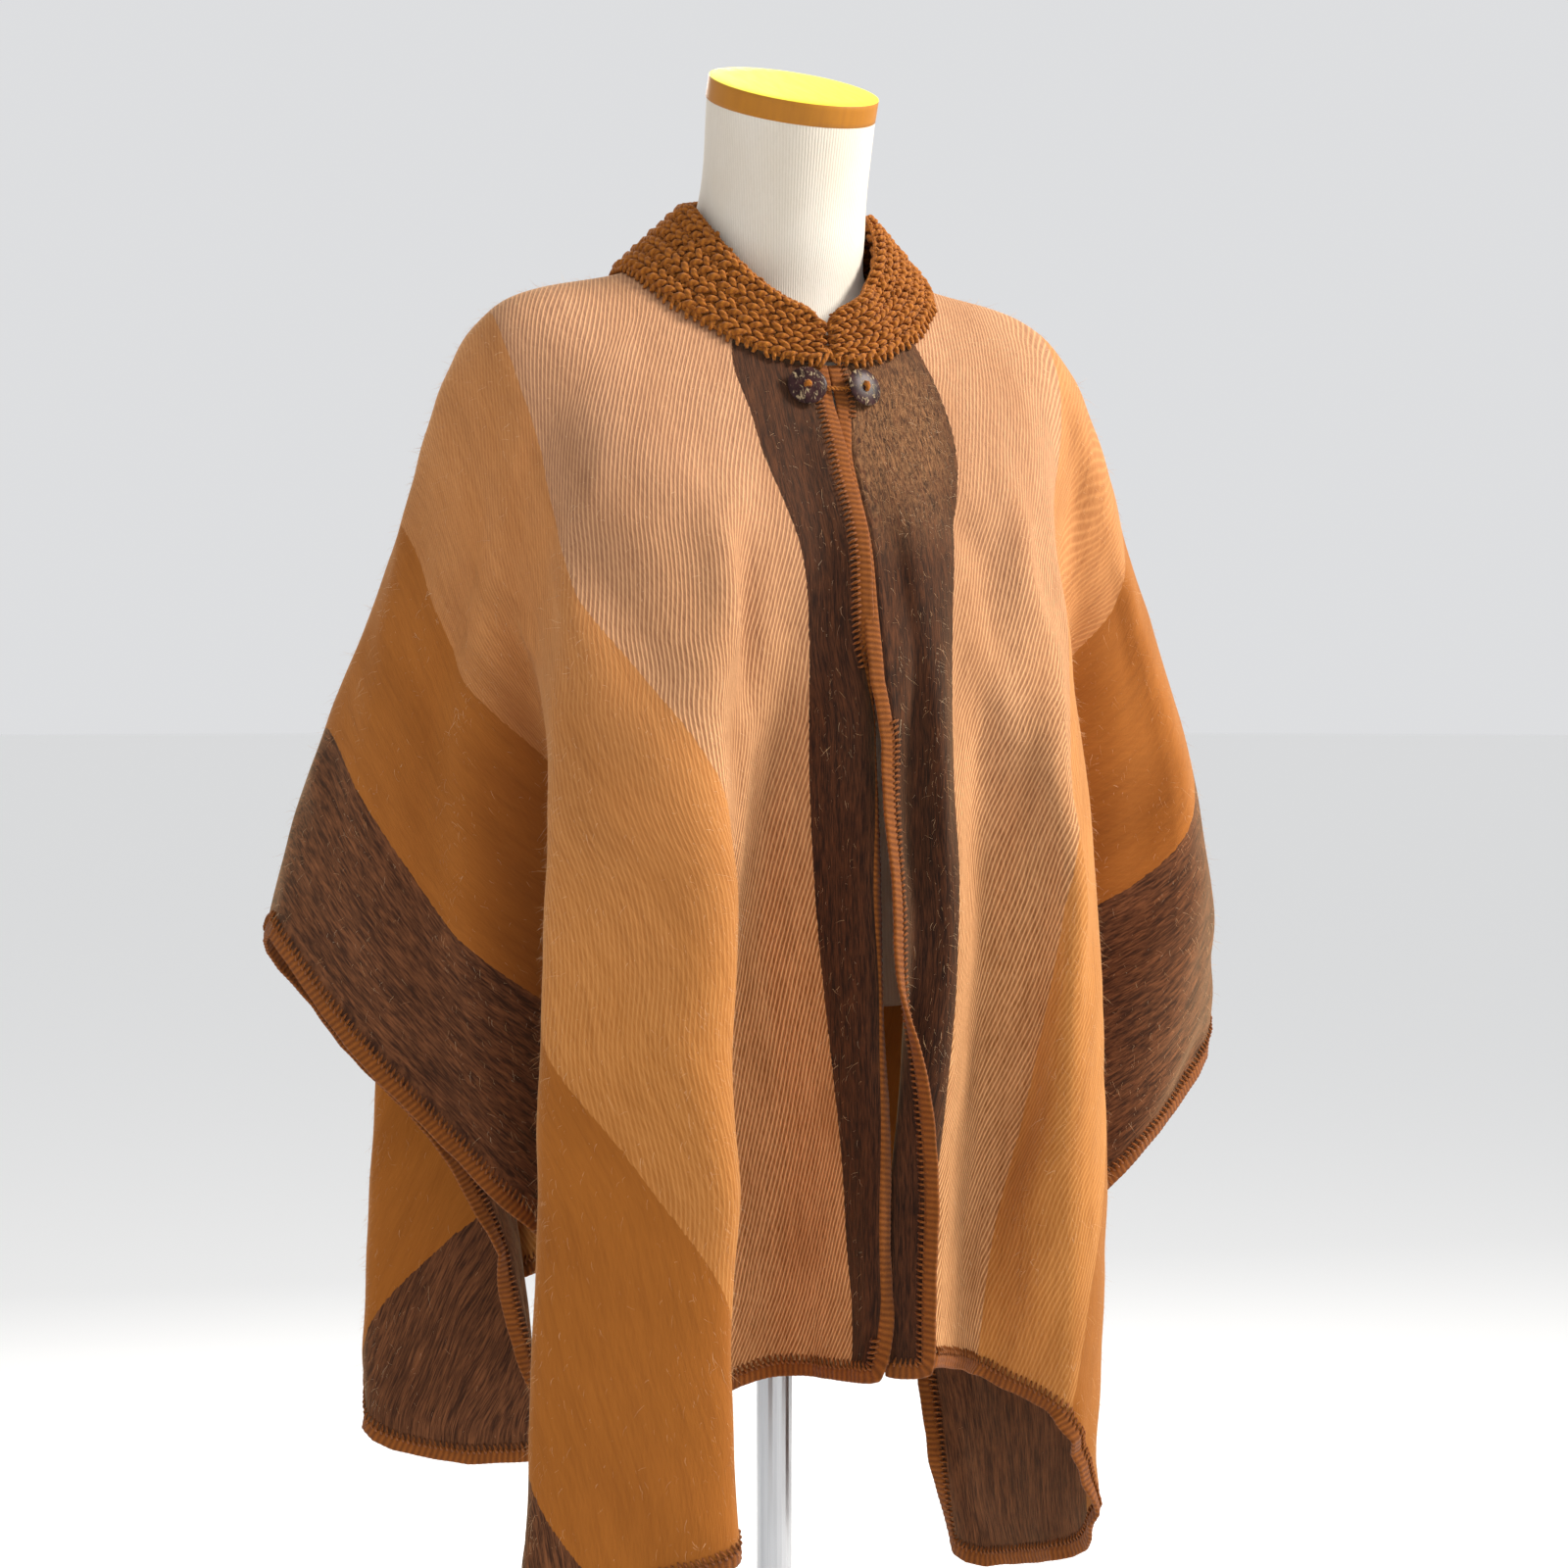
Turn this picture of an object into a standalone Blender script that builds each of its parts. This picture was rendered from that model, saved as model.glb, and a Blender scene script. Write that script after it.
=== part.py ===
"""Striped blanket cape with a crocheted collar, lying on a limbless dress form.

Metres, +Z up. The origin is the middle of the stand's base, on the floor. The
front faces -Y and the wearer's right is -X.

The cape is one woven rectangle with a slit up its centre front. It is drawn as
fold lines that run straight across the flat cloth, from the neckline to the
cut edge, and hang down past four levels. Each one ends where its length on the
flat cloth is used up, so the hem is worked out and not drawn.
"""
from collections import namedtuple
from math import cos, pi, radians, sin

import bpy
import numpy as np

# Flat cloth, in metres
HALF_LENGTH = 0.775
RIGHT_WIDTH = 0.657
LEFT_WIDTH = 0.707
CORNER_ROUND = 0.035
EDGING_WIDTH = 0.0105
SEAM = 0.0003
EDGE_IN = EDGING_WIDTH + SEAM
CLOTH = 0.0025

# Neckline and shoulders, where the cloth lies on the form
NECK_HALF_WIDTH = 0.113
NECK_FRONT = 0.085
NECK_BACK = 0.095
NECK_SIDE_Z = 1.403
NECK_FRONT_DROP = 0.066
NECK_BACK_RISE = 0.012
SHOULDER_HALF_WIDTH = 0.213
SHOULDER_FRONT = 0.116
SHOULDER_BACK = 0.112
SHOULDER_Z = 1.370
SHOULDER_FRONT_DROP = 0.098
SHOULDER_BACK_DROP = 0.055

# Heights that the fold lines hang past
LEVELS = (1.20, 0.98, 0.76, 0.54)

# Crocheted edging and collar
EDGING_THICK = 0.0046
ROOM_AT_FOLDS = 0.0016
COLLAR_THICK = 0.0050
COLLAR_SEAM = 0.0011
COLLAR_TOP_HALF_WIDTH = 0.0655
COLLAR_TOP_FRONT = 0.0700
COLLAR_TOP_BACK = 0.0576
COLLAR_TOP_SIDE_Z = 1.449
COLLAR_FRONT_DROP = 0.074
COLLAR_BACK_RISE = 0.015
COLLAR_SET_BACK = 0.008
COLLAR_END_ROUND = 0.010
COLLAR_END_TURN = 2.0
COLLAR_ROUND_TURN = 12.0
COLLAR_LIFT = (COLLAR_THICK - CLOTH) / 2 + SEAM

# Buttons and the yarn between them
BUTTON_RADIUS = 0.0135
BUTTON_THICK = 0.0042
BUTTON_HOLE_RADIUS = 0.0011
BUTTON_HOLE_SPACING = 0.0048
BUTTON_HOLE_SIDES = 10
BUTTON_SIDES = 28
BUTTON_OUT = 0.0177
BUTTON_Z = 1.3225
BUTTON_STAND_OFF = 0.0078
BUTTON_TIP = 18.0
BUTTON_TURN = 14.0
YARN_RADIUS = 0.0012
YARN_STAND_BACK = 0.0031
YARN_BULGE = 0.0010
YARN_SAG = 0.0015

# Shares of the button's radius and half thickness, from the back to the front
BUTTON_PROFILE = (
    (0.30, -0.53),
    (0.90, -0.33),
    (1.00, -0.10),
    (1.00, 0.10),
    (0.92, 0.33),
    (0.62, 0.83),
    (0.30, 1.00),
)

# Dress form and stand
FORM_BOTTOM_Z = 0.900
CAP_RADIUS = 0.0590
CAP_THICK = 0.0125
CAP_BEVEL = 0.0012
CAP_SIDES = 48
POLE_RADIUS = 0.0125
BASE_RADIUS = 0.170
BASE_THICK = 0.018
BASE_BEVEL = 0.003

# One row for each fold of the cloth, from the slit round to the centre back.
#   cut       distance along the cut edge from the slit's lower corner
#   neck      where the fold leaves the neckline, in degrees from the front
#   shoulder  where it crosses the shoulder line, in degrees from the front
#   chest, waist, hip, low   (out from the centre, forward of the side) there
#   give      how much the cloth stretches on the bias along this fold
Fold = namedtuple("Fold", "cut neck shoulder chest waist hip low give")

RIGHT_FOLDS = (
    Fold(0.011, 6, 4, (.0125, .147), (.020, .178), (.020, .193), (.020, .196), .00),
    Fold(0.150, 14, 13, (.048, .143), (.073, .132), (.060, .117), (.060, .110), .00),
    Fold(0.290, 26, 23, (.088, .145), (.105, .150), (.150, .140), (.150, .140), .01),
    Fold(0.420, 36, 31, (.122, .150), (.136, .215), (.140, .235), (.140, .240), .05),
    Fold(0.485, 44, 37, (.157, .140), (.190, .205), (.200, .222), (.205, .228), .05),
    Fold(0.550, 52, 43, (.190, .118), (.234, .170), (.249, .184), (.262, .193), .05),
    Fold(0.657, 58, 48, (.200, .095), (.217, .128), (.205, .145), (.200, .150), .045),
    Fold(0.960, 64, 54, (.215, .065), (.168, .065), (.138, .052), (.135, .050), .09),
    Fold(1.132, 73, 64, (.245, .055), (.268, .082), (.238, .095), (.235, .098), .10),
    Fold(1.432, 90, 90, (.282, .000), (.362, .000), (.400, .000), (.400, .000), .01),
    Fold(1.700, 105, 108, (.252, -.055), (.300, -.075), (.260, -.080), (.260, -.080), .03),
    Fold(1.950, 116, 122, (.220, -.085), (.200, -.095), (.170, -.100), (.150, -.105), .03),
    Fold(2.207, 124, 132, (.205, -.100), (.195, -.120), (.155, -.120), (.130, -.118), .00),
    Fold(2.310, 132, 140, (.180, -.120), (.225, -.165), (.240, -.170), (.245, -.170), .02),
    Fold(2.450, 142, 150, (.135, -.135), (.155, -.190), (.175, -.235), (.180, -.240), .01),
    Fold(2.590, 154, 160, (.090, -.135), (.110, -.130), (.125, -.125), (.130, -.120), .00),
    Fold(2.730, 167, 170, (.045, -.130), (.065, -.170), (.070, -.215), (.070, -.220), .00),
    Fold(2.864, 180, 180, (.000, -.125), (.000, -.135), (.000, -.155), (.000, -.155), .00),
)

LEFT_FOLDS = (
    Fold(0.011, 6, 4, (.0125, .150), (.003, .193), (.010, .211), (.000, .209), .00),
    Fold(0.038, 9, 6, (.022, .151), (.017, .184), (-.006, .190), (-.008, .190), .00),
    Fold(0.100, 14, 11, (.035, .154), (.036, .199), (.030, .186), (.034, .186), .00),
    Fold(0.220, 22, 20, (.070, .150), (.082, .160), (.085, .150), (.085, .140), .00),
    Fold(0.340, 34, 30, (.115, .138), (.130, .192), (.130, .198), (.120, .190), .01),
    Fold(0.520, 50, 42, (.168, .108), (.180, .135), (.176, .155), (.165, .158), .04),
    Fold(0.707, 62, 52, (.185, .075), (.172, .075), (.155, .060), (.138, .030), .00),
    Fold(0.960, 70, 60, (.210, .050), (.162, .032), (.130, .005), (.124, .000), .04),
    Fold(1.250, 78, 70, (.255, .050), (.290, .085), (.250, .070), (.240, .050), .10),
    Fold(1.482, 90, 90, (.290, .000), (.345, .000), (.350, .000), (.360, .000), .06),
    Fold(1.750, 105, 108, (.260, -.055), (.300, -.080), (.260, -.100), (.250, -.100), .03),
    Fold(2.000, 116, 122, (.225, -.085), (.200, -.090), (.175, -.078), (.170, -.075), .03),
    Fold(2.257, 124, 132, (.205, -.105), (.222, -.135), (.236, -.145), (.240, -.145), .01),
    Fold(2.400, 134, 142, (.170, -.125), (.210, -.185), (.235, -.200), (.240, -.205), .01),
    Fold(2.560, 146, 153, (.120, -.135), (.130, -.175), (.140, -.190), (.140, -.190), .00),
    Fold(2.700, 157, 163, (.080, -.133), (.085, -.140), (.085, -.135), (.085, -.130), .00),
    Fold(2.840, 168, 171, (.040, -.130), (.045, -.165), (.050, -.200), (.050, -.200), .00),
    Fold(2.964, 180, 180, (.000, -.125), (.000, -.135), (.000, -.155), (.000, -.155), .00),
)
STEPS_PER_FOLD = 3
ROWS = 21
FOLDS_APART = 0.02
BELOW_LOW = 0.6
LINE_STEPS = 120

# One row for each level of the form below the shoulders
Section = namedtuple("Section", "z half_width front back")
FORM_SECTIONS = (
    Section(1.225, 0.176, 0.124, 0.110),
    Section(1.170, 0.164, 0.134, 0.112),
    Section(1.090, 0.144, 0.112, 0.100),
    Section(1.020, 0.130, 0.092, 0.084),
    Section(0.955, 0.131, 0.090, 0.084),
    Section(FORM_BOTTOM_Z, 0.136, 0.093, 0.090),
)
FORM_SQUARENESS = 2.4
FORM_COLUMN_STEP = 2

# Rows of the cloth that the form's shoulders follow, and how far under it
SHOULDER_ROWS = ((0, 0.0015), (1, 0.0026), (2, 0.0018), (3, 0.0040))

# One row for each ring of the form's neck, from its foot to its flat top
NeckRing = namedtuple("NeckRing", "y z radius tilt")
NECK_RINGS = (
    NeckRing(-0.002, 1.410, 0.066, 28.0),
    NeckRing(-0.012, 1.448, 0.059, 18.0),
    NeckRing(-0.028, 1.522, 0.059, 21.0),
)

# sRGB colour, roughness and metallic value of each material
Finish = namedtuple("Finish", "colour roughness metallic")
FINISHES = {
    "striped_cloth": Finish((0.68, 0.45, 0.26), 0.90, 0.0),
    "crochet_yarn": Finish((0.62, 0.35, 0.12), 0.90, 0.0),
    "coconut_shell": Finish((0.20, 0.13, 0.14), 0.35, 0.0),
    "form_jersey": Finish((0.88, 0.85, 0.79), 0.85, 0.0),
    "painted_cap": Finish((0.88, 0.75, 0.16), 0.40, 0.0),
    "stand_steel": Finish((0.70, 0.70, 0.71), 0.35, 1.0),
}


# Splines and meshes

def slopes(knots, values):
    """Slope at each knot of the parabola through it and its neighbours."""
    run = np.diff(knots)[:, None]
    chord = np.diff(values, axis=0) / run
    middle = (chord[:-1] * run[1:] + chord[1:] * run[:-1]) / (run[1:] + run[:-1])
    return np.concatenate((chord[:1], middle, chord[-1:]))


def spline(knots, values, places):
    """Smooth curve through values at rising knots, read at some places."""
    knots = np.asarray(knots, float)
    values = np.asarray(values, float)
    slope = slopes(knots, values)
    first = np.clip(np.searchsorted(knots, places, side="right") - 1, 0, len(knots) - 2)
    run = (knots[first + 1] - knots[first])[:, None]
    u = (places - knots[first])[:, None] / run
    return ((2 * u**3 - 3 * u**2 + 1) * values[first]
            + (u**3 - 2 * u**2 + u) * run * slope[first]
            + (3 * u**2 - 2 * u**3) * values[first + 1]
            + (u**3 - u**2) * run * slope[first + 1])


def unit(vectors):
    return vectors / np.linalg.norm(vectors, axis=-1, keepdims=True)


def material(name):
    finish = FINISHES[name]
    made = bpy.data.materials.get(name) or bpy.data.materials.new(name)
    made.use_nodes = True
    shader = made.node_tree.nodes["Principled BSDF"]
    linear = [channel**2.2 for channel in finish.colour]
    shader.inputs["Base Color"].default_value = (*linear, 1.0)
    shader.inputs["Roughness"].default_value = finish.roughness
    shader.inputs["Metallic"].default_value = finish.metallic
    made.diffuse_color = (*linear, 1.0)
    return made


def add_object(name, points, faces, finish, sharp_angle=None):
    mesh = bpy.data.meshes.new(name)
    mesh.from_pydata([tuple(point) for point in points], [], faces)
    mesh.materials.append(material(finish))
    mesh.shade_smooth()
    if sharp_angle is not None:
        mesh.set_sharp_from_angle(angle=radians(sharp_angle))
    made = bpy.data.objects.new(name, mesh)
    bpy.context.scene.collection.objects.link(made)
    return made


def grid_triangles(grid):
    """Two triangles for each cell of a grid, split along its shorter diagonal."""
    columns, rows = grid.shape[:2]
    triangles = []
    for i in range(columns - 1):
        for j in range(rows - 1):
            a, b = i * rows + j, (i + 1) * rows + j
            c, d = b + 1, a + 1
            down = np.linalg.norm(grid[i, j] - grid[i + 1, j + 1])
            up = np.linalg.norm(grid[i + 1, j] - grid[i, j + 1])
            if down < up:
                triangles += [(a, b, c), (a, c, d)]
            else:
                triangles += [(a, b, d), (b, c, d)]
    return triangles


def grid_normals(grid, triangles):
    """Unit normal at each grid point, from the triangles around it."""
    points = grid.reshape(-1, 3)
    normals = np.zeros_like(points)
    for a, b, c in triangles:
        face = np.cross(points[b] - points[a], points[c] - points[a])
        normals[a] += face
        normals[b] += face
        normals[c] += face
    return unit(normals).reshape(grid.shape)


def border(columns, rows):
    """Grid positions round the edge: the cut edge and slit, then the neckline."""
    down = [(0, j) for j in range(rows)]
    along = [(i, rows - 1) for i in range(1, columns)]
    up = [(columns - 1, j) for j in range(rows - 2, -1, -1)]
    neck = [(i, 0) for i in range(columns - 2, 0, -1)]
    return down + along + up, neck


def wall_mesh(grid, thickness):
    """A closed wall of even thickness, half on each side of a grid of points."""
    columns, rows = grid.shape[:2]
    triangles = grid_triangles(grid)
    normals = grid_normals(grid, triangles)
    outer = (grid + normals * thickness / 2).reshape(-1, 3)
    inner = (grid - normals * thickness / 2).reshape(-1, 3)
    count = columns * rows
    faces = list(triangles)
    faces += [(a + count, c + count, b + count) for a, b, c in triangles]
    cut, neck = border(columns, rows)
    ring = [i * rows + j for i, j in cut + neck]
    for a, b in zip(ring, ring[1:] + ring[:1]):
        faces += [(a, b, b + count), (a, b + count, a + count)]
    return np.concatenate((outer, inner)), faces, normals


def ring_mesh(rings):
    """A closed skin through rings of points, capped at both ends."""
    rings = [np.asarray(ring) for ring in rings]
    sides = len(rings[0])
    points = np.concatenate(rings)
    faces = []
    for k in range(len(rings) - 1):
        for i in range(sides):
            a, b = k * sides + i, k * sides + (i + 1) % sides
            faces += [(a, b, b + sides), (a, b + sides, a + sides)]
    last = (len(rings) - 1) * sides
    faces.append(tuple(range(sides))[::-1])
    faces.append(tuple(range(last, last + sides)))
    return points, faces


# The cloth's shape

def neck_line(turn):
    """Where the cloth starts, at the lower edge of the collar."""
    fore = cos(radians(turn))
    out = NECK_HALF_WIDTH * sin(radians(turn))
    if fore > 0:
        return np.array((out, -NECK_FRONT * fore, NECK_SIDE_Z - NECK_FRONT_DROP * fore**1.5))
    return np.array((out, -NECK_BACK * fore, NECK_SIDE_Z + NECK_BACK_RISE * fore**2))


def shoulder_line(turn):
    """Where the cloth leaves the form and starts to hang."""
    fore = cos(radians(turn))
    out = SHOULDER_HALF_WIDTH * sin(radians(turn))
    if fore > 0:
        return np.array((out, -SHOULDER_FRONT * fore, SHOULDER_Z - SHOULDER_FRONT_DROP * fore**1.6))
    return np.array((out, -SHOULDER_BACK * fore, SHOULDER_Z - SHOULDER_BACK_DROP * fore**2))


def cut_point(cut, width):
    """A point of the woven cloth's edge: (out from the slit, forward of the shoulders).

    The sizes include the edging, so the woven edge lies EDGE_IN inside them.
    """
    side, hem = width - EDGE_IN, HALF_LENGTH - EDGE_IN
    front_corner = width
    back_corner = width + 2 * HALF_LENGTH
    reach = CORNER_ROUND + EDGE_IN
    for corner, ahead in ((front_corner, 1), (back_corner, -1)):
        if abs(cut - corner) < reach:
            turn = pi / 4 * (1 + ahead * (cut - corner) / reach)
            centre = np.array((side - CORNER_ROUND, ahead * (hem - CORNER_ROUND)))
            return centre + CORNER_ROUND * np.array((sin(turn), ahead * cos(turn)))
    if cut <= front_corner:
        return np.array((cut, hem))
    if cut <= back_corner:
        return np.array((side, HALF_LENGTH - (cut - front_corner)))
    return np.array((width + back_corner - cut, -hem))


def running(lengths):
    """Distance from the start at each end of a row of lengths."""
    return np.concatenate(((0,), np.cumsum(lengths)))


def fold_rows(folds, steps):
    """Rows of numbers for the folds and for the even steps between them."""
    rows = np.array([(f.cut, f.neck, f.shoulder, *f.chest, *f.waist, *f.hip, *f.low, f.give)
                     for f in folds])
    at_waist = np.hypot(*np.diff(rows[:, 5:7], axis=0).T)
    at_hip = np.hypot(*np.diff(rows[:, 7:9], axis=0).T)
    knots = running(np.sqrt(np.maximum(at_waist + at_hip, FOLDS_APART)))
    count = (len(folds) - 1) * steps
    whole = np.arange(count + 1) / steps
    places = np.interp(whole, np.arange(len(folds)), knots)
    made = spline(knots, rows, places)
    made[:, 0] = np.interp(whole, np.arange(len(folds)), rows[:, 0])
    return made


def hang(row, side, width, count):
    """Points down one fold line, from the neckline to the cut edge."""
    cut, neck, shoulder = row[:3]
    points = [neck_line(neck), shoulder_line(shoulder)]
    points += [np.array((row[3 + 2 * k], -row[4 + 2 * k], z)) for k, z in enumerate(LEVELS)]
    points.append(points[-1] + BELOW_LOW * (points[-1] - points[-2]))
    points = np.array(points)
    knots = running(np.sqrt(np.linalg.norm(np.diff(points, axis=0), axis=1)))
    fine = spline(knots, points, np.linspace(0, knots[-1], LINE_STEPS))
    run = running(np.linalg.norm(np.diff(fine, axis=0), axis=1))
    start = neck_line(neck)
    flat = cut_point(cut, width) - np.array((start[0], -start[1]))
    give = row[11]
    wanted = np.linspace(0, np.hypot(*flat) * (1 + give), count)
    line = np.array([np.interp(wanted, run, fine[:, axis]) for axis in range(3)]).T
    return line * (side, 1, 1)


def cloth_grid():
    """The whole cloth, from the right slit edge round the back to the left one."""
    right = [hang(row, -1, RIGHT_WIDTH, ROWS) for row in fold_rows(RIGHT_FOLDS, STEPS_PER_FOLD)]
    left = [hang(row, 1, LEFT_WIDTH, ROWS) for row in fold_rows(LEFT_FOLDS, STEPS_PER_FOLD)]
    return np.array(right + left[-2::-1])


# The sewn pieces

def add_cloth(grid):
    points, faces, normals = wall_mesh(grid, CLOTH)
    add_object("cape_cloth", points, faces, "striped_cloth")
    return normals


def section_outline(half_width, half_thick, sides):
    """An oval section as (across, along the normal) pairs."""
    turns = [2 * pi * k / sides for k in range(sides)]
    return [(half_width * cos(turn), half_thick * sin(turn)) for turn in turns]


def add_edging(grid, normals):
    """The crocheted edging, one strip round the slit edges, sides and hems."""
    places, _ = border(*grid.shape[:2])
    path = np.array([grid[place] for place in places])
    normal = np.array([normals[place] for place in places])
    step = unit(np.diff(path, axis=0))
    ahead = np.concatenate((step, step[-1:]))
    behind = np.concatenate((step[:1], step))
    out_ahead = unit(np.cross(normal, ahead))
    out_behind = unit(np.cross(normal, behind))
    mitre = 1 + np.sum(out_ahead * out_behind, axis=1, keepdims=True)
    outward = (out_ahead + out_behind) / np.maximum(mitre, 1.0)
    outline = section_outline(EDGING_WIDTH / 2, EDGING_THICK / 2, 8)
    before, after = np.roll(normal, 1, axis=0), np.roll(normal, -1, axis=0)
    fold = 1 - np.sum(before * after, axis=1)
    fold[[0, -1]] = 0.0
    reach = SEAM + EDGING_WIDTH / 2 + ROOM_AT_FOLDS * fold
    rings = []
    for k in range(len(path)):
        centre = path[k] + outward[k] * reach[k]
        rings.append([centre + outward[k] * across + normal[k] * up for across, up in outline])
    points, faces = ring_mesh(rings)
    add_object("edging", points, faces, "crochet_yarn")


def collar_top(turn):
    """The collar's upper edge, a V at the front and high at the nape."""
    fore = cos(radians(turn))
    out = COLLAR_TOP_HALF_WIDTH * sin(radians(turn))
    if fore > 0:
        return np.array((out, -COLLAR_SET_BACK - COLLAR_TOP_FRONT * fore,
                         COLLAR_TOP_SIDE_Z - COLLAR_FRONT_DROP * fore**1.3))
    return np.array((out, -COLLAR_SET_BACK - COLLAR_TOP_BACK * fore,
                     COLLAR_TOP_SIDE_Z + COLLAR_BACK_RISE * fore**2))


def add_collar():
    """The crocheted band, open at the front, where its two rounded ends meet."""
    half = np.concatenate((np.linspace(COLLAR_END_TURN, 24, 6), np.linspace(36, 180, 13)))
    outline = section_outline(0.5, 0.5, 10)
    rings = []
    for turn in (*half, *(360 - half[-2::-1])):
        low, high = neck_line(turn), collar_top(turn)
        up = unit(high - low)
        low = low + up * COLLAR_SEAM
        from_end = min(turn, 360 - turn) - COLLAR_END_TURN
        rounding = COLLAR_END_ROUND * max(0.0, 1 - from_end / COLLAR_ROUND_TURN) ** 2
        low, high = low + up * rounding / 2, high - up * rounding
        tall = np.linalg.norm(high - low)
        around = unit(np.array((cos(radians(turn)), sin(radians(turn)), 0.0)))
        out = unit(np.cross(around, up))
        middle = (low + high) / 2 + out * COLLAR_LIFT
        rings.append([middle + up * tall * flat_oval(across) + out * COLLAR_THICK * thick
                      for across, thick in outline])
    points, faces = ring_mesh(rings)
    add_object("collar", points, faces, "crochet_yarn")


def flat_oval(across):
    """Pushes an oval's points towards its two ends, to leave flatter sides."""
    return 0.5 * np.sign(across) * abs(2 * across) ** 0.6


# The buttons

def turned(profile, sides):
    """Rings of points round the Z axis from (radius, z) pairs."""
    turns = [2 * pi * k / sides for k in range(sides)]
    return [[(radius * cos(turn), radius * sin(turn), z) for turn in turns] for radius, z in profile]


def add_turned(name, profile, sides, finish, place=(0, 0, 0), tilt=(0, 0, 0), sharp_angle=40):
    points, faces = ring_mesh(turned(profile, sides))
    made = add_object(name, points, faces, finish, sharp_angle)
    made.location = place
    made.rotation_euler = tilt
    return made


def cloth_front(out, z):
    """A point of the cloth's front, at a small distance from the slit."""
    turn = np.degrees(np.arcsin(abs(out) / NECK_HALF_WIDTH))
    low, high = shoulder_line(turn), neck_line(turn)
    share = (z - low[2]) / (high[2] - low[2])
    place = low + (high - low) * share
    return place * (np.sign(out), 1, 1)


def add_button(name, out):
    """A domed disc with two holes, standing just clear of the edging."""
    place = cloth_front(out, BUTTON_Z) - np.array((0, BUTTON_STAND_OFF, 0))
    profile = [(BUTTON_RADIUS * across, BUTTON_THICK / 2 * up) for across, up in BUTTON_PROFILE]
    face_down = pi / 2 - radians(BUTTON_TIP)
    turn = radians(BUTTON_TURN) * np.sign(out)
    button = add_turned(name, profile, BUTTON_SIDES, "coconut_shell", place, (face_down, 0, turn))
    bore = ((BUTTON_HOLE_RADIUS, -BUTTON_THICK), (BUTTON_HOLE_RADIUS, BUTTON_THICK))
    for side in (-1, 1):
        cutter = add_turned("bore_cutter", bore, BUTTON_HOLE_SIDES, "coconut_shell")
        cutter.parent = button
        cutter.location = (0, side * BUTTON_HOLE_SPACING / 2, 0)
        cutter.hide_render = True
        cutter.display_type = "WIRE"
        cut = button.modifiers.new("hole", "BOOLEAN")
        cut.object = cutter
        cut.operation = "DIFFERENCE"
    return place


def add_yarn_link(right, left):
    """The short yarn that joins the two buttons behind their backs."""
    back = np.array((0, YARN_STAND_BACK, 0))
    middle = (right + left) / 2 + back - np.array((0, YARN_BULGE, YARN_SAG))
    path = spline((0, 1, 2), (right + back, middle, left + back), np.linspace(0, 2, 9))
    rings = []
    for k, centre in enumerate(path):
        ahead = unit(path[min(k + 1, len(path) - 1)] - path[max(k - 1, 0)])
        side = unit(np.cross((0.0, 0.0, 1.0), ahead))
        up = np.cross(ahead, side)
        rings.append([centre + YARN_RADIUS * (side * cos(turn) + up * sin(turn))
                      for turn in (2 * pi * i / 8 for i in range(8))])
    points, faces = ring_mesh(rings)
    add_object("yarn_link", points, faces, "crochet_yarn")


# The dress form and its stand

def form_turns():
    """Headings of the form's points: those of the cloth's columns at the shoulders."""
    right = -fold_rows(RIGHT_FOLDS, STEPS_PER_FOLD)[:, 2]
    left = fold_rows(LEFT_FOLDS, STEPS_PER_FOLD)[:, 2]
    return np.radians(np.concatenate((right, left[-2::-1])))[::FORM_COLUMN_STEP]


def form_ring(section, turns):
    """A level ring of the form: a rounded oval, squarer than an ellipse."""
    points = []
    for turn in turns:
        fore, out = cos(turn), sin(turn)
        depth = section.front if fore > 0 else section.back
        size = (abs(fore)**FORM_SQUARENESS + abs(out)**FORM_SQUARENESS) ** (-1 / FORM_SQUARENESS)
        points.append((section.half_width * out * size, -depth * fore * size, section.z))
    return points


def neck_ring(ring, turns):
    """A tilted circle, lower at the front."""
    tilt = radians(ring.tilt)
    return [(ring.radius * sin(turn),
             ring.y - ring.radius * cos(turn) * cos(tilt),
             ring.z - ring.radius * cos(turn) * sin(tilt)) for turn in turns]


def add_form(grid, normals):
    """The form in one smooth piece, from its flat bottom to the top of its neck."""
    turns = form_turns()
    rings = [form_ring(section, turns) for section in FORM_SECTIONS[::-1]]
    for row, inward in SHOULDER_ROWS[::-1]:
        under = grid[::FORM_COLUMN_STEP, row] - normals[::FORM_COLUMN_STEP, row] * (CLOTH / 2 + inward)
        rings.append(under)
    rings += [neck_ring(ring, turns) for ring in NECK_RINGS]
    points, faces = ring_mesh([ring[::-1] for ring in rings])
    add_object("form_torso", points, faces, "form_jersey", sharp_angle=50)


def add_cap():
    top = NECK_RINGS[-1]
    tilt = radians(top.tilt)
    lift = SEAM + CAP_THICK / 2
    place = (0, top.y - lift * sin(tilt), top.z + lift * cos(tilt))
    profile = (
        (CAP_RADIUS - CAP_BEVEL, -CAP_THICK / 2),
        (CAP_RADIUS, -CAP_THICK / 2 + CAP_BEVEL),
        (CAP_RADIUS, CAP_THICK / 2 - CAP_BEVEL),
        (CAP_RADIUS - CAP_BEVEL, CAP_THICK / 2),
    )
    add_turned("neck_cap", profile, CAP_SIDES, "painted_cap", place, (tilt, 0, 0))


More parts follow.
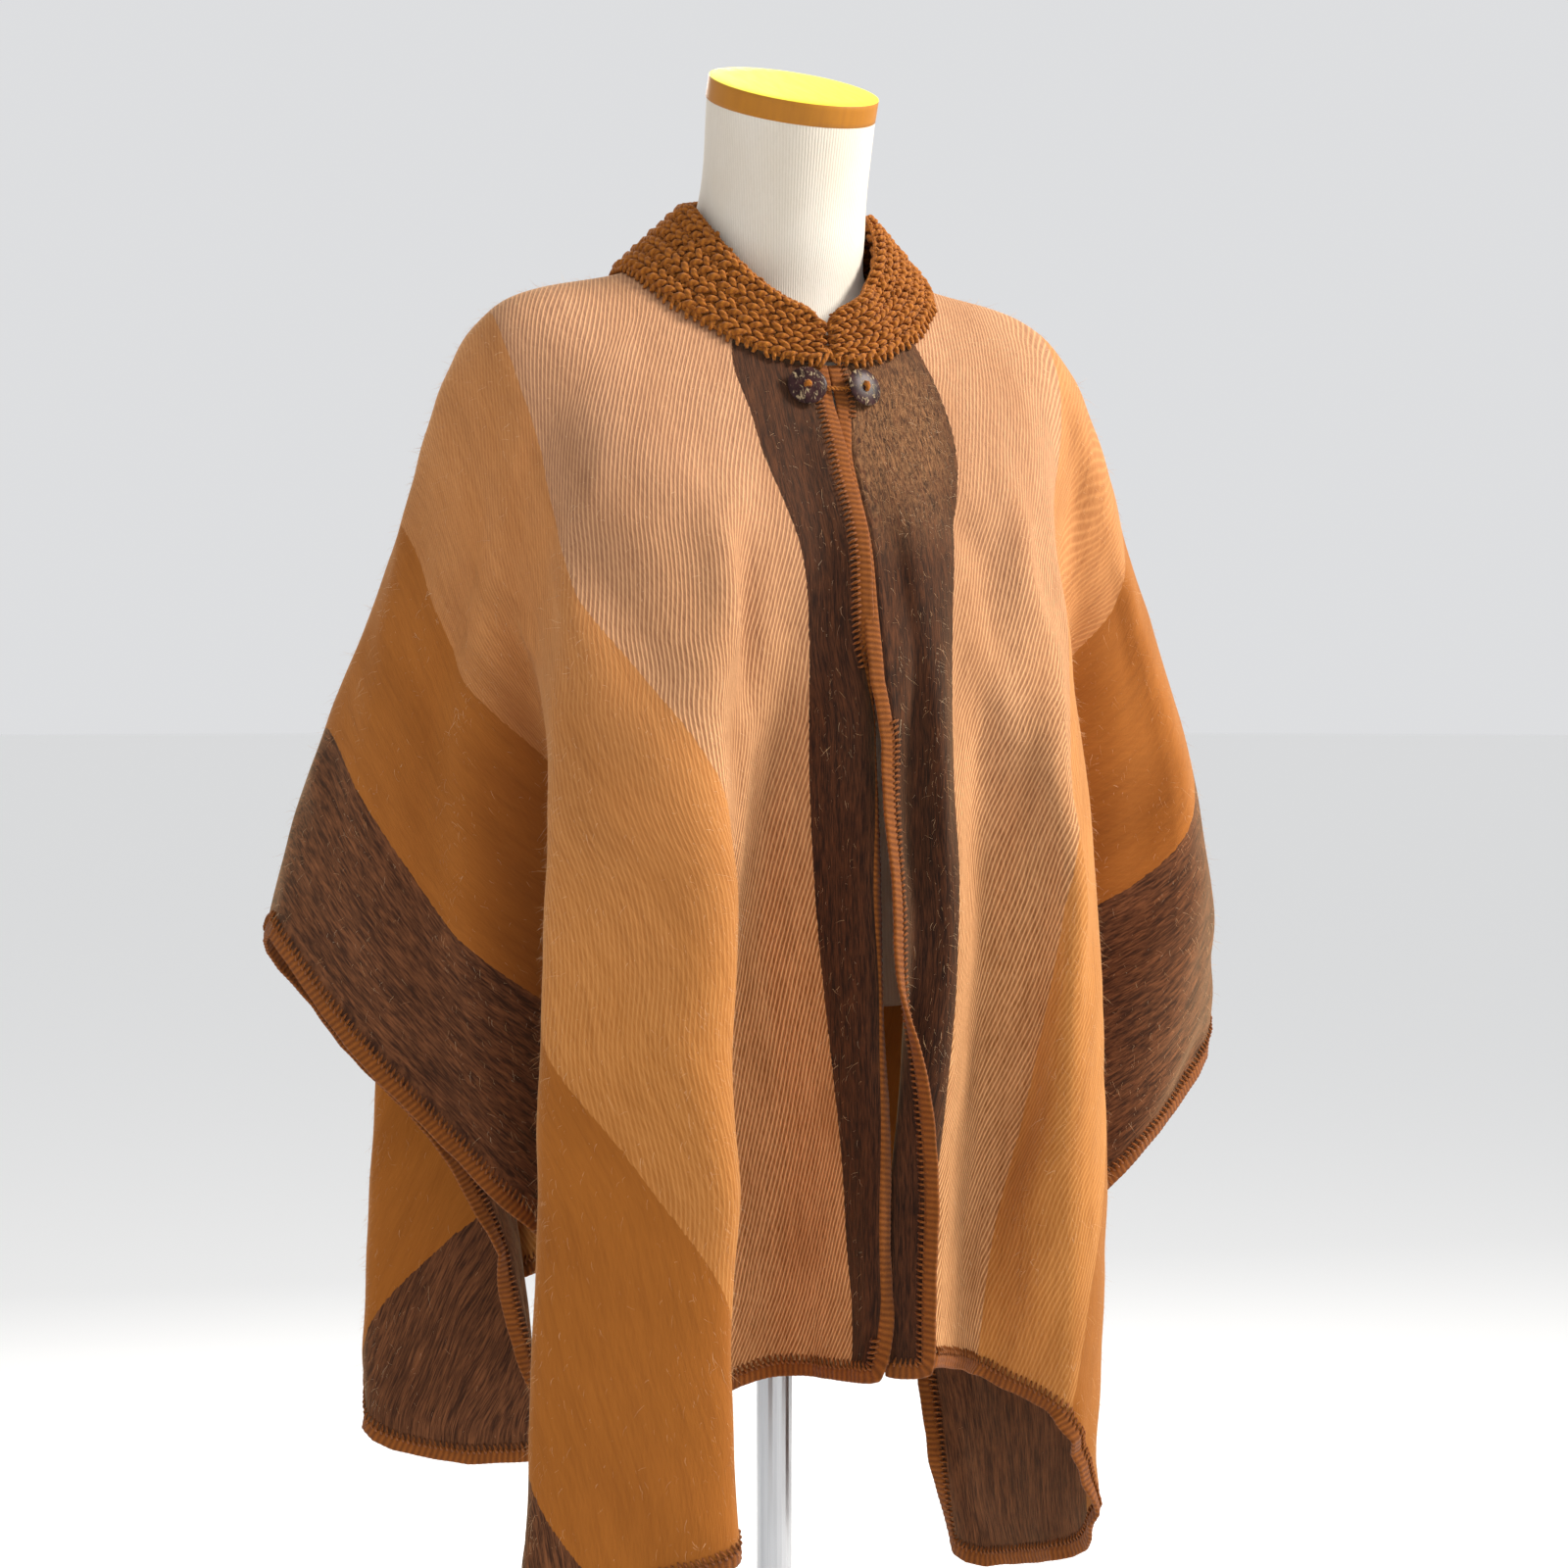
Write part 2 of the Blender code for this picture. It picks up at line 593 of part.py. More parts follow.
def add_stand():
    base = (
        (BASE_RADIUS - BASE_BEVEL, 0.0),
        (BASE_RADIUS, BASE_BEVEL),
        (BASE_RADIUS, BASE_THICK - BASE_BEVEL),
        (BASE_RADIUS - BASE_BEVEL, BASE_THICK),
    )
    add_turned("stand_base", base, 64, "stand_steel")
    pole = ((POLE_RADIUS, BASE_THICK + SEAM), (POLE_RADIUS, FORM_BOTTOM_Z - SEAM))
    add_turned("stand_pole", pole, 24, "stand_steel")


def clear_scene():
    for thing in list(bpy.data.objects):
        bpy.data.objects.remove(thing, do_unlink=True)


def main():
    clear_scene()
    grid = cloth_grid()
    normals = add_cloth(grid)
    add_edging(grid, normals)
    add_collar()
    right = add_button("button_right", -BUTTON_OUT)
    left = add_button("button_left", BUTTON_OUT)
    add_yarn_link(right, left)
    add_form(grid, normals)
    add_cap()
    add_stand()


main()
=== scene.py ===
# %% [markdown]
# # A striped blanket cape on a dress form
# The cape is one woven blanket with a slit up its centre front, a crocheted collar
# and a crocheted edge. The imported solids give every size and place. This lesson
# dresses them: it hangs the cloth again more finely, weaves its stripes, crochets
# the yarn pieces stitch by stitch, and finishes the buttons, the form and the stand.

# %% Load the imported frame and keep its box
from collections import namedtuple
from math import asin, cos, degrees, pi, radians, sin

import bpy
import numpy as np
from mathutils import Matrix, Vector


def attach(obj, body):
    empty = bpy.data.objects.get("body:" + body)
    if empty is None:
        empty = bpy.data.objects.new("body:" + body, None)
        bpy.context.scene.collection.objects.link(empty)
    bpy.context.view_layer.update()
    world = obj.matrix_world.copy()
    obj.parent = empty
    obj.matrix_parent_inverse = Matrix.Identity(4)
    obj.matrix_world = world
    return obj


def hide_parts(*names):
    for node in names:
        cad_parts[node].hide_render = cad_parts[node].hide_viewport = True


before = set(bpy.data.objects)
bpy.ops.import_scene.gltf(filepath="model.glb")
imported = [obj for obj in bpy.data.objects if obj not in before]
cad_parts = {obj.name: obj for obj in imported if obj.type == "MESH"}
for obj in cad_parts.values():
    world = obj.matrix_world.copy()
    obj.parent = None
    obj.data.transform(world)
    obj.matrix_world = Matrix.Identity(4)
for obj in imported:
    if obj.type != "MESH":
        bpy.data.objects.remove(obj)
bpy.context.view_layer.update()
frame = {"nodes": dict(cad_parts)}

SEED = 11

# %% [markdown]
# ## Camera, floor and light
# The photo looks at the wearer's right front, level with the lower chest, from a
# little over two metres. A long lens keeps the shoulders from looking small. The
# floor is plain and pale. A soft light stands on the wearer's left, where the sun
# is in the photo, a weaker one fills the other side, and a third lights the edges
# from behind.

# %% Camera
FRAME_PIXELS = 1600
FOCAL_PIXELS = 3480
CAMERA_AZIMUTH = -25.0
CAMERA_AWAY = 2.40
CAMERA_Z = 1.130
AIM = Vector((0.0063, -0.0029, 1.0507))


def aimed(place, target):
    """Rotation that points an object's -Z from a place at a target."""
    return (Vector(target) - Vector(place)).to_track_quat("-Z", "Y").to_euler()


def link(thing):
    bpy.context.scene.collection.objects.link(thing)
    return thing


camera = link(bpy.data.objects.new("camera", bpy.data.cameras.new("camera")))
camera.data.sensor_width = 36.0
camera.data.lens = 36.0 * FOCAL_PIXELS / FRAME_PIXELS
camera.data.clip_start = 0.05
turn = radians(CAMERA_AZIMUTH)
camera.location = (CAMERA_AWAY * sin(turn), -CAMERA_AWAY * cos(turn), CAMERA_Z)
camera.rotation_euler = aimed(camera.location, AIM)
bpy.context.scene.camera = camera
print("camera at", [round(value, 3) for value in camera.location])

# %% Node trees in few words
def add_node(tree, kind, settings=None, **inputs):
    """A node with its settings, and its inputs set to a value or fed by a socket."""
    node = tree.nodes.new(kind)
    for name, value in (settings or {}).items():
        setattr(node, name, value)
    for name, value in inputs.items():
        key = name.replace("_", " ")
        if isinstance(value, bpy.types.NodeSocket):
            tree.links.new(value, node.inputs[key])
        else:
            node.inputs[key].default_value = value
    return node


def math_node(tree, operation, a, b=None, c=None, clamp=False):
    node = tree.nodes.new("ShaderNodeMath")
    node.operation = operation
    node.use_clamp = clamp
    for k, value in enumerate((a, b, c)):
        if isinstance(value, bpy.types.NodeSocket):
            tree.links.new(value, node.inputs[k])
        elif value is not None:
            node.inputs[k].default_value = value
    return node.outputs[0]


def mix_colour(tree, share, a, b, blend="MIX"):
    node = tree.nodes.new("ShaderNodeMix")
    node.data_type = "RGBA"
    node.blend_type = blend
    for socket, value in ((node.inputs[0], share), (node.inputs[6], a), (node.inputs[7], b)):
        if isinstance(value, bpy.types.NodeSocket):
            tree.links.new(value, socket)
        else:
            socket.default_value = value
    return node.outputs[2]


def linear(red, green, blue):
    """A colour given in the usual 0 to 255 numbers, as Blender's linear one."""
    return tuple((c / 255 / 12.92) if c <= 10 else ((c / 255 + 0.055) / 1.055) ** 2.4
                 for c in (red, green, blue)) + (1.0,)


def new_material(name, roughness, **shader_values):
    """A material, its tree and its shader, with the uniform values on the shader."""
    made = bpy.data.materials.new(name)
    made.use_nodes = True
    tree = made.node_tree
    shader = tree.nodes["Principled BSDF"]
    shader.inputs["Roughness"].default_value = roughness
    for key, value in shader_values.items():
        shader.inputs[key.replace("_", " ")].default_value = value
    return made, tree, shader


def stretched(tree, vector, scale, turn=0.0):
    """Coordinates multiplied by a scale for each axis, after a turn about Z."""
    node = tree.nodes.new("ShaderNodeMapping")
    node.inputs["Scale"].default_value = scale
    node.inputs["Rotation"].default_value = (0.0, 0.0, turn)
    tree.links.new(vector, node.inputs["Vector"])
    return node.outputs["Vector"]


def noise(tree, vector, scale, detail=2.0, roughness=0.5, distortion=0.0, turn=0.0):
    """Noise on coordinates multiplied by a scale for each axis, after a turn about Z."""
    node = tree.nodes.new("ShaderNodeTexNoise")
    tree.links.new(stretched(tree, vector, scale, turn), node.inputs["Vector"])
    node.inputs["Scale"].default_value = 1.0
    node.inputs["Detail"].default_value = detail
    node.inputs["Roughness"].default_value = roughness
    node.inputs["Distortion"].default_value = distortion
    return node.outputs["Fac"]


def ramp(tree, share, stops, interpolation="LINEAR"):
    """A colour ramp from (place, colour or grey) stops."""
    node = tree.nodes.new("ShaderNodeValToRGB")
    node.color_ramp.interpolation = interpolation
    elements = node.color_ramp.elements
    while len(elements) < len(stops):
        elements.new(0.5)
    for element, (place, colour) in zip(elements, stops):
        element.position = place
        element.color = colour if isinstance(colour, tuple) else (colour, colour, colour, 1.0)
    tree.links.new(share, node.inputs["Fac"])
    return node.outputs["Color"]


def bump(tree, height, distance, strength):
    node = tree.nodes.new("ShaderNodeBump")
    node.inputs["Distance"].default_value = distance
    node.inputs["Strength"].default_value = strength
    tree.links.new(height, node.inputs["Height"])
    return node.outputs["Normal"]


def swing(tree, phase):
    """A sine wave that goes from 0 to 1."""
    return math_node(tree, "MULTIPLY_ADD", math_node(tree, "SINE", phase), 0.5, 0.5)


def coordinates(tree, kind="Object"):
    return tree.nodes.new("ShaderNodeTexCoord").outputs[kind]


# %% Floor and soft studio light
FLOOR_RADIUS = 60.0
FLOOR_SIDES = 96
turns = [2 * pi * k / FLOOR_SIDES for k in range(FLOOR_SIDES)]
floor_mesh = bpy.data.meshes.new("floor")
floor_mesh.from_pydata([(FLOOR_RADIUS * cos(turn), FLOOR_RADIUS * sin(turn), 0.0) for turn in turns],
                       [], [tuple(range(FLOOR_SIDES))])
floor = link(bpy.data.objects.new("floor", floor_mesh))
floor_finish, _, _ = new_material("pale_floor", 0.9, Base_Color=linear(250, 250, 249))
floor_mesh.materials.append(floor_finish)

Lamp = namedtuple("Lamp", "name place target size energy colour")
LAMPS = (
    Lamp("key", (2.1, -1.1, 2.9), (0.0, 0.0, 1.10), 0.7, 132.0, (1.0, 0.955, 0.89)),
    Lamp("fill", (-2.4, -2.6, 1.9), (0.0, 0.0, 0.95), 2.4, 12.0, (0.93, 0.965, 1.0)),
    Lamp("rim", (0.6, 2.6, 2.5), (0.0, 0.0, 1.10), 1.2, 50.0, (1.0, 0.96, 0.90)),
)
for lamp in LAMPS:
    light = bpy.data.lights.new(lamp.name, "AREA")
    light.size = lamp.size
    light.energy = lamp.energy
    light.color = lamp.colour
    stand_in = link(bpy.data.objects.new(lamp.name, light))
    stand_in.location = lamp.place
    stand_in.rotation_euler = aimed(lamp.place, lamp.target)

world = bpy.data.worlds.new("studio")
world.use_nodes = True
world.node_tree.nodes["Background"].inputs["Color"].default_value = linear(250, 251, 253)
world.node_tree.nodes["Background"].inputs["Strength"].default_value = 0.76
bpy.context.scene.world = world
bpy.context.scene.view_settings.view_transform = "Standard"
print("lamps:", [lamp.name for lamp in LAMPS])

# %% [markdown]
# ## The cloth
# A blanket cape is one rectangle of cloth, with a slit cut from the middle of the
# front hem to a small neck opening. Cloth hardly stretches, so its folds can't be
# drawn freely. Here each fold line runs straight across the flat cloth from the
# neckline to the cut edge, hangs past four levels, and ends where its flat length
# is used up. The hem then comes out as real cloth's does. A simulation would give
# other folds than the photo's, so the folds are given in two tables.

# %% Sizes of the flat cloth and the lines that carry it
HALF_LENGTH = 0.775
RIGHT_WIDTH = 0.657
LEFT_WIDTH = 0.707
CORNER_ROUND = 0.035
EDGING_WIDTH = 0.0105
EDGE_IN = 0.0108
CLOTH = 0.0024
LEVELS = (1.20, 0.98, 0.76, 0.54)
NECK_HALF_WIDTH = 0.113
NECK_FRONT, NECK_BACK = 0.085, 0.095
NECK_SIDE_Z = 1.403

Fold = namedtuple("Fold", "cut neck shoulder chest waist hip low give")
RIGHT_FOLDS = (
    Fold(0.011, 5.2, 3.2, (.0108, .147), (.018, .178), (.020, .193), (.020, .196), .00),
    Fold(0.150, 14, 13, (.048, .143), (.073, .132), (.060, .117), (.060, .110), .00),
    Fold(0.290, 26, 23, (.088, .145), (.105, .150), (.150, .140), (.150, .140), .01),
    Fold(0.420, 36, 31, (.122, .150), (.136, .215), (.140, .235), (.140, .240), .05),
    Fold(0.485, 44, 37, (.157, .140), (.190, .205), (.200, .222), (.205, .228), .05),
    Fold(0.550, 52, 43, (.190, .118), (.234, .170), (.249, .184), (.262, .193), .05),
    Fold(0.657, 58, 48, (.200, .095), (.217, .128), (.205, .145), (.200, .150), .045),
    Fold(0.960, 64, 54, (.215, .065), (.168, .065), (.138, .052), (.135, .050), .09),
    Fold(1.132, 73, 64, (.245, .055), (.268, .082), (.238, .095), (.235, .098), .10),
    Fold(1.432, 90, 90, (.282, .000), (.362, .000), (.400, .000), (.400, .000), .01),
    Fold(1.700, 105, 108, (.252, -.055), (.300, -.075), (.260, -.080), (.260, -.080), .03),
    Fold(1.950, 116, 122, (.220, -.085), (.200, -.095), (.170, -.100), (.150, -.105), .03),
    Fold(2.207, 124, 132, (.205, -.100), (.195, -.120), (.155, -.120), (.130, -.118), .00),
    Fold(2.310, 132, 140, (.180, -.120), (.225, -.165), (.240, -.170), (.245, -.170), .02),
    Fold(2.450, 142, 150, (.135, -.135), (.155, -.190), (.175, -.235), (.180, -.240), .01),
    Fold(2.590, 154, 160, (.090, -.135), (.110, -.130), (.125, -.125), (.130, -.120), .00),
    Fold(2.730, 167, 170, (.045, -.130), (.065, -.170), (.070, -.215), (.070, -.220), .00),
    Fold(2.864, 180, 180, (.000, -.125), (.000, -.135), (.000, -.155), (.000, -.155), .00),
)
LEFT_FOLDS = (
    Fold(0.011, 5.2, 3.2, (.0108, .150), (.001, .193), (.010, .211), (.000, .209), .00),
    Fold(0.038, 9, 6, (.022, .151), (.017, .184), (-.006, .190), (-.008, .190), .00),
    Fold(0.100, 14, 11, (.035, .154), (.036, .199), (.030, .186), (.034, .186), .00),
    Fold(0.220, 22, 20, (.070, .150), (.082, .160), (.085, .150), (.085, .140), .00),
    Fold(0.340, 34, 30, (.115, .138), (.130, .192), (.130, .198), (.120, .190), .01),
    Fold(0.520, 50, 42, (.168, .108), (.180, .135), (.176, .155), (.165, .158), .04),
    Fold(0.707, 62, 52, (.185, .075), (.172, .075), (.155, .060), (.138, .030), .00),
    Fold(0.960, 70, 60, (.210, .050), (.162, .032), (.130, .005), (.124, .000), .04),
    Fold(1.250, 78, 70, (.255, .050), (.290, .085), (.250, .070), (.240, .050), .10),
    Fold(1.482, 90, 90, (.290, .000), (.345, .000), (.350, .000), (.360, .000), .06),
    Fold(1.750, 105, 108, (.260, -.055), (.300, -.080), (.260, -.100), (.250, -.100), .03),
    Fold(2.000, 116, 122, (.225, -.085), (.200, -.090), (.175, -.078), (.170, -.075), .03),
    Fold(2.257, 124, 132, (.205, -.105), (.222, -.135), (.236, -.145), (.240, -.145), .01),
    Fold(2.400, 134, 142, (.170, -.125), (.210, -.185), (.235, -.200), (.240, -.205), .01),
    Fold(2.560, 146, 153, (.120, -.135), (.130, -.175), (.140, -.190), (.140, -.190), .00),
    Fold(2.700, 157, 163, (.080, -.133), (.085, -.140), (.085, -.135), (.085, -.130), .00),
    Fold(2.840, 168, 171, (.040, -.130), (.045, -.165), (.050, -.200), (.050, -.200), .00),
    Fold(2.964, 180, 180, (.000, -.125), (.000, -.135), (.000, -.155), (.000, -.155), .00),
)
COLUMNS_PER_FOLD = 9
ROWS = 121
print("fold lines:", len(RIGHT_FOLDS), "right and", len(LEFT_FOLDS), "left")


# %% Splines and running lengths
def spline(knots, values, places):
    """Smooth curve through values at rising knots, read at some places."""
    knots, values = np.asarray(knots, float), np.asarray(values, float)
    run = np.diff(knots)[:, None]
    chord = np.diff(values, axis=0) / run
    middle = (chord[:-1] * run[1:] + chord[1:] * run[:-1]) / (run[1:] + run[:-1])
    slope = np.concatenate((chord[:1], middle, chord[-1:]))
    first = np.clip(np.searchsorted(knots, places, side="right") - 1, 0, len(knots) - 2)
    step = run[first]
    u = (np.asarray(places) - knots[first])[:, None] / step
    return ((2 * u**3 - 3 * u**2 + 1) * values[first] + (u**3 - 2 * u**2 + u) * step * slope[first]
            + (3 * u**2 - 2 * u**3) * values[first + 1] + (u**3 - u**2) * step * slope[first + 1])


def running(lengths):
    return np.concatenate(((0,), np.cumsum(lengths)))


def unit(vectors):
    return vectors / np.maximum(np.linalg.norm(vectors, axis=-1, keepdims=True), 1e-12)


# %% The neckline, the shoulders and the cut edge
def neck_line(turn):
    """Where the cloth starts, at the lower edge of the collar."""
    fore, out = cos(radians(turn)), NECK_HALF_WIDTH * sin(radians(turn))
    if fore > 0:
        return np.array((out, -NECK_FRONT * fore, NECK_SIDE_Z - 0.066 * fore**1.5))
    return np.array((out, -NECK_BACK * fore, NECK_SIDE_Z + 0.012 * fore**2))


def shoulder_line(turn):
    """Where the cloth leaves the form and starts to hang."""
    fore, out = cos(radians(turn)), 0.213 * sin(radians(turn))
    if fore > 0:
        return np.array((out, -0.116 * fore, 1.370 - 0.098 * fore**1.6))
    return np.array((out, -0.112 * fore, 1.370 - 0.055 * fore**2))


def cut_point(cut, width):
    """A point of the woven edge on the flat cloth: (out from the slit, forward)."""
    side, hem = width - EDGE_IN, HALF_LENGTH - EDGE_IN
    back_corner = width + 2 * HALF_LENGTH
    reach = CORNER_ROUND + EDGE_IN
    for corner, ahead in ((width, 1), (back_corner, -1)):
        if abs(cut - corner) < reach:
            turn = pi / 4 * (1 + ahead * (cut - corner) / reach)
            centre = np.array((side - CORNER_ROUND, ahead * (hem - CORNER_ROUND)))
            return centre + CORNER_ROUND * np.array((sin(turn), ahead * cos(turn)))
    if cut <= width:
        return np.array((cut, hem))
    if cut <= back_corner:
        return np.array((side, HALF_LENGTH - (cut - width)))
    return np.array((width + back_corner - cut, -hem))


# %% Hang the cloth from its fold tables
def fold_rows(folds, steps):
    """Numbers for the folds and for even steps between them."""
    rows = np.array([(f.cut, f.neck, f.shoulder, *f.chest, *f.waist, *f.hip, *f.low, f.give)
                     for f in folds])
    apart = np.hypot(*np.diff(rows[:, 5:7], axis=0).T) + np.hypot(*np.diff(rows[:, 7:9], axis=0).T)
    knots = running(np.sqrt(np.maximum(apart, 0.02)))
    whole = np.arange((len(folds) - 1) * steps + 1) / steps
    made = spline(knots, rows, np.interp(whole, np.arange(len(folds)), knots))
    made[:, 0] = np.interp(whole, np.arange(len(folds)), rows[:, 0])
    return made


def hang(row, side, width, count):
    """Points down one fold line, and their places on the flat cloth."""
    points = [neck_line(row[1]), shoulder_line(row[2])]
    points += [np.array((row[3 + 2 * k], -row[4 + 2 * k], z)) for k, z in enumerate(LEVELS)]
    points.append(points[-1] + 0.6 * (points[-1] - points[-2]))
    points = np.array(points)
    knots = running(np.sqrt(np.linalg.norm(np.diff(points, axis=0), axis=1)))
    fine = spline(knots, points, np.linspace(0, knots[-1], 400))
    run = running(np.linalg.norm(np.diff(fine, axis=0), axis=1))
    start = np.array((points[0][0], -points[0][1]))
    end = cut_point(row[0], width)
    share = np.linspace(0, 1, count)
    wanted = share * np.linalg.norm(end - start) * (1 + row[11])
    line = np.array([np.interp(wanted, run, fine[:, axis]) for axis in range(3)]).T
    flat = start + (end - start) * share[:, None]
    return line * (side, 1, 1), flat * (side, 1)


def hung_cloth(steps, count):
    """The cloth's points and their flat places, from the right slit edge round to the left."""
    right = [hang(row, -1, RIGHT_WIDTH, count) for row in fold_rows(RIGHT_FOLDS, steps)]
    left = [hang(row, 1, LEFT_WIDTH, count) for row in fold_rows(LEFT_FOLDS, steps)]
    lines = right + left[-2::-1]
    middle = len(right) - 1
    return np.array([line for line, _ in lines]), np.array([flat for _, flat in lines]), middle


cloth, flat, centre_back = hung_cloth(COLUMNS_PER_FOLD, ROWS)
print("cloth grid:", cloth.shape[:2], "lowest point:", round(cloth[..., 2].min(), 3))

# %% [markdown]
# ### Creases and a puckered hem
# The fold tables give the large folds. Real cloth also has shallow creases that
# come and go, and its crocheted edge draws it in a little, so the hem ripples.
# Each crease is a line on the flat cloth with a half width and a depth. It is
# soft on both sides, fades at its ends and wanders a little.

# %% Creases, listed one by one
Crease = namedtuple("Crease", "side start end half_width depth")
CREASES = (
    Crease(-1, (.055, .120), (.235, .375), .016, .0080),
    Crease(-1, (.195, .310), (.370, .660), .018, .0078),
    Crease(-1, (.045, .170), (.190, .380), .016, -.0050),
    Crease(-1, (.160, .330), (.310, .650), .018, -.0055),
    Crease(-1, (.235, .055), (.400, .215), .024, -.0050),
    Crease(-1, (.165, .135), (.250, .320), .014, .0040),
    Crease(-1, (.385, .055), (.250, .290), .008, .0026),
    Crease(-1, (.375, .045), (.240, .275), .007, -.0022),
    Crease(1, (.070, .110), (.190, .300), .013, .0085),
    Crease(1, (.165, .240), (.240, .530), .014, .0085),
    Crease(1, (.065, .150), (.140, .350), .017, -.0075),
    Crease(1, (.165, .380), (.228, .730), .018, -.0105),
    Crease(1, (.215, .480), (.300, .770), .016, .0060),
    Crease(-1, (.255, .125), (.690, .250), .024, -.0110),
    Crease(-1, (.300, -.010), (.600, .150), .026, .0055),
    Crease(1, (.270, .120), (.560, .210), .020, -.0060),
    Crease(-1, (.060, .200), (.100, .700), .012, -.0022),
    Crease(-1, (.115, .150), (.170, .560), .016, .0028),
    Crease(-1, (.200, .160), (.235, .420), .014, -.0020),
    Crease(-1, (.330, .120), (.240, .330), .020, .0026),
    Crease(-1, (.420, .080), (.330, .400), .018, -.0026),
    Crease(-1, (.470, .190), (.430, .560), .020, .0030),
    Crease(-1, (.560, .260), (.520, .600), .016, -.0022),
    Crease(-1, (.520, -.050), (.600, .160), .022, .0026),
    Crease(-1, (.250, .520), (.280, .740), .018, .0024),
    Crease(-1, (.020, .420), (.050, .740), .010, .0016),
    Crease(1, (.070, .160), (.085, .520), .010, -.0022),
    Crease(1, (.120, .140), (.150, .420), .014, .0022),
    Crease(1, (.180, .120), (.250, .360), .016, -.0026),
    Crease(1, (.260, .100), (.330, .300), .018, .0030),
    Crease(1, (.330, .220), (.350, .560), .016, -.0024),
    Crease(1, (.430, .200), (.450, .620), .018, .0030),
    Crease(1, (.540, .150), (.560, .500), .018, -.0026),
    Crease(1, (.560, -.080), (.630, .140), .020, .0024),
    Crease(1, (.180, .560), (.200, .740), .014, .0018),
    Crease(-1, (.120, -.300), (.150, -.720), .018, .0030),
    Crease(-1, (.250, -.220), (.330, -.640), .020, -.0030),
    Crease(-1, (.420, -.180), (.470, -.560), .020, .0030),
    Crease(1, (.090, -.260), (.110, -.700), .018, -.0026),
    Crease(1, (.230, -.240), (.290, -.660), .020, .0030),
    Crease(1, (.420, -.200), (.500, -.600), .020, -.0028),
)


def crease_height(crease, place, wander):
    """Height of one crease at places of the flat cloth."""
    start = np.array(crease.start) * (crease.side, 1)
    line = np.array(crease.end) * (crease.side, 1) - start
    long = np.linalg.norm(line)
    along = (place - start) @ line / long**2
    aside = ((place - start) @ np.array((-line[1], line[0]))) / long
    aside = aside + 0.010 * np.sin(along * 5.0 + wander) + 0.004 * np.sin(along * 13.0 + 2 * wander)
    fade = np.clip(along / 0.35, 0, 1) * np.clip((1 - along) / 0.35, 0, 1)
    return crease.depth * fade**2 * (3 - 2 * fade) * np.exp(-(aside / crease.half_width) ** 2)


def rows_of_waves(place, seed, waves=14, longest=0.16, shortest=0.035):
    """A sum of slow waves over the flat cloth, from -1 to 1 or so."""
    random = np.random.default_rng(seed)
    total = np.zeros(place.shape[:-1])
    for _ in range(waves):
        heading, start = random.uniform(0, 2 * pi), random.uniform(0, 2 * pi)
        length = longest * (shortest / longest) ** random.uniform()
        total += np.sin((place @ np.array((cos(heading), 0.45 * sin(heading)))) * 2 * pi / length + start)
    return total / np.sqrt(waves)


def grid_normals(grid):
    across = np.gradient(grid, axis=0)
    down = np.gradient(grid, axis=1)
    return unit(np.cross(across, down))


def edge_distance(place):
    """How far a place of the flat cloth is from the nearest woven edge, slit included."""
    width = np.where(place[..., 0] < 0, RIGHT_WIDTH, LEFT_WIDTH) - EDGE_IN
    to_side = width - np.abs(place[..., 0])
    to_hem = HALF_LENGTH - EDGE_IN - np.abs(place[..., 1])
    to_slit = np.where(place[..., 1] > 0.08, np.abs(place[..., 0]) - EDGE_IN, 1.0)
    return np.minimum(np.minimum(to_side, to_hem), to_slit)


normals = grid_normals(cloth)
height = sum(crease_height(crease, flat, 1.7 * k) for k, crease in enumerate(CREASES))
height = height + 0.0009 * rows_of_waves(flat, SEED)
from_edge = edge_distance(flat)
pucker = rows_of_waves(flat, SEED + 1, waves=10, longest=0.075, shortest=0.042)
height = height + 0.0022 * pucker * np.exp(-(from_edge / 0.035) ** 2)
LYING = np.clip((np.arange(ROWS) / (ROWS - 1) - 0.10) / 0.13, 0, 1)
height = height * (LYING**2 * (3 - 2 * LYING))[None, :]
cloth = cloth + normals * height[..., None]

# From the lower chest up to the buttons the right edge lies over the left one, and
# from there down to the hip it is turned under, so its band hardly shows.
LAID_OVER = ((1.085, 0.0), (1.125, 1.0), (1.275, 1.0), (1.310, 0.0))
TURNED_UNDER = ((0.675, 0.0), (0.72, 0.85), (0.80, 1.0), (1.10, 1.0), (1.15, 0.0))
TURN_SHIFT, TURN_ANGLE, LAY_LIFT = 0.0085, 1.65, 0.0048
SLIT_RUN = 0.72


def share_at(table, z):
    return np.interp(z, *np.array(table).T)


for edge_columns, table in (((0, 1, 2, 3), TURNED_UNDER), ((-1, -2, -3, -4), LAID_OVER)):
    aside = unit(cloth[edge_columns[0]] - cloth[edge_columns[3]])
    aside = aside * (TURN_SHIFT * share_at(table, cloth[edge_columns[0], :, 2]))[:, None]
    for column, share in zip(edge_columns, (1.0, 0.6, 0.25)):
        cloth[column] += aside * share
lift = normals[0] * (LAY_LIFT * share_at(LAID_OVER, cloth[0, :, 2]))[:, None]
for column, share in enumerate((1.0, 0.9, 0.7, 0.45, 0.22, 0.08)):
    cloth[column] += lift * share
normals = grid_normals(cloth)
print("creases from", round(height.min() * 1000, 1), "to", round(height.max() * 1000, 1), "mm")

# %% Make the shell of the cloth
STRIPE_LEAN = 0.017


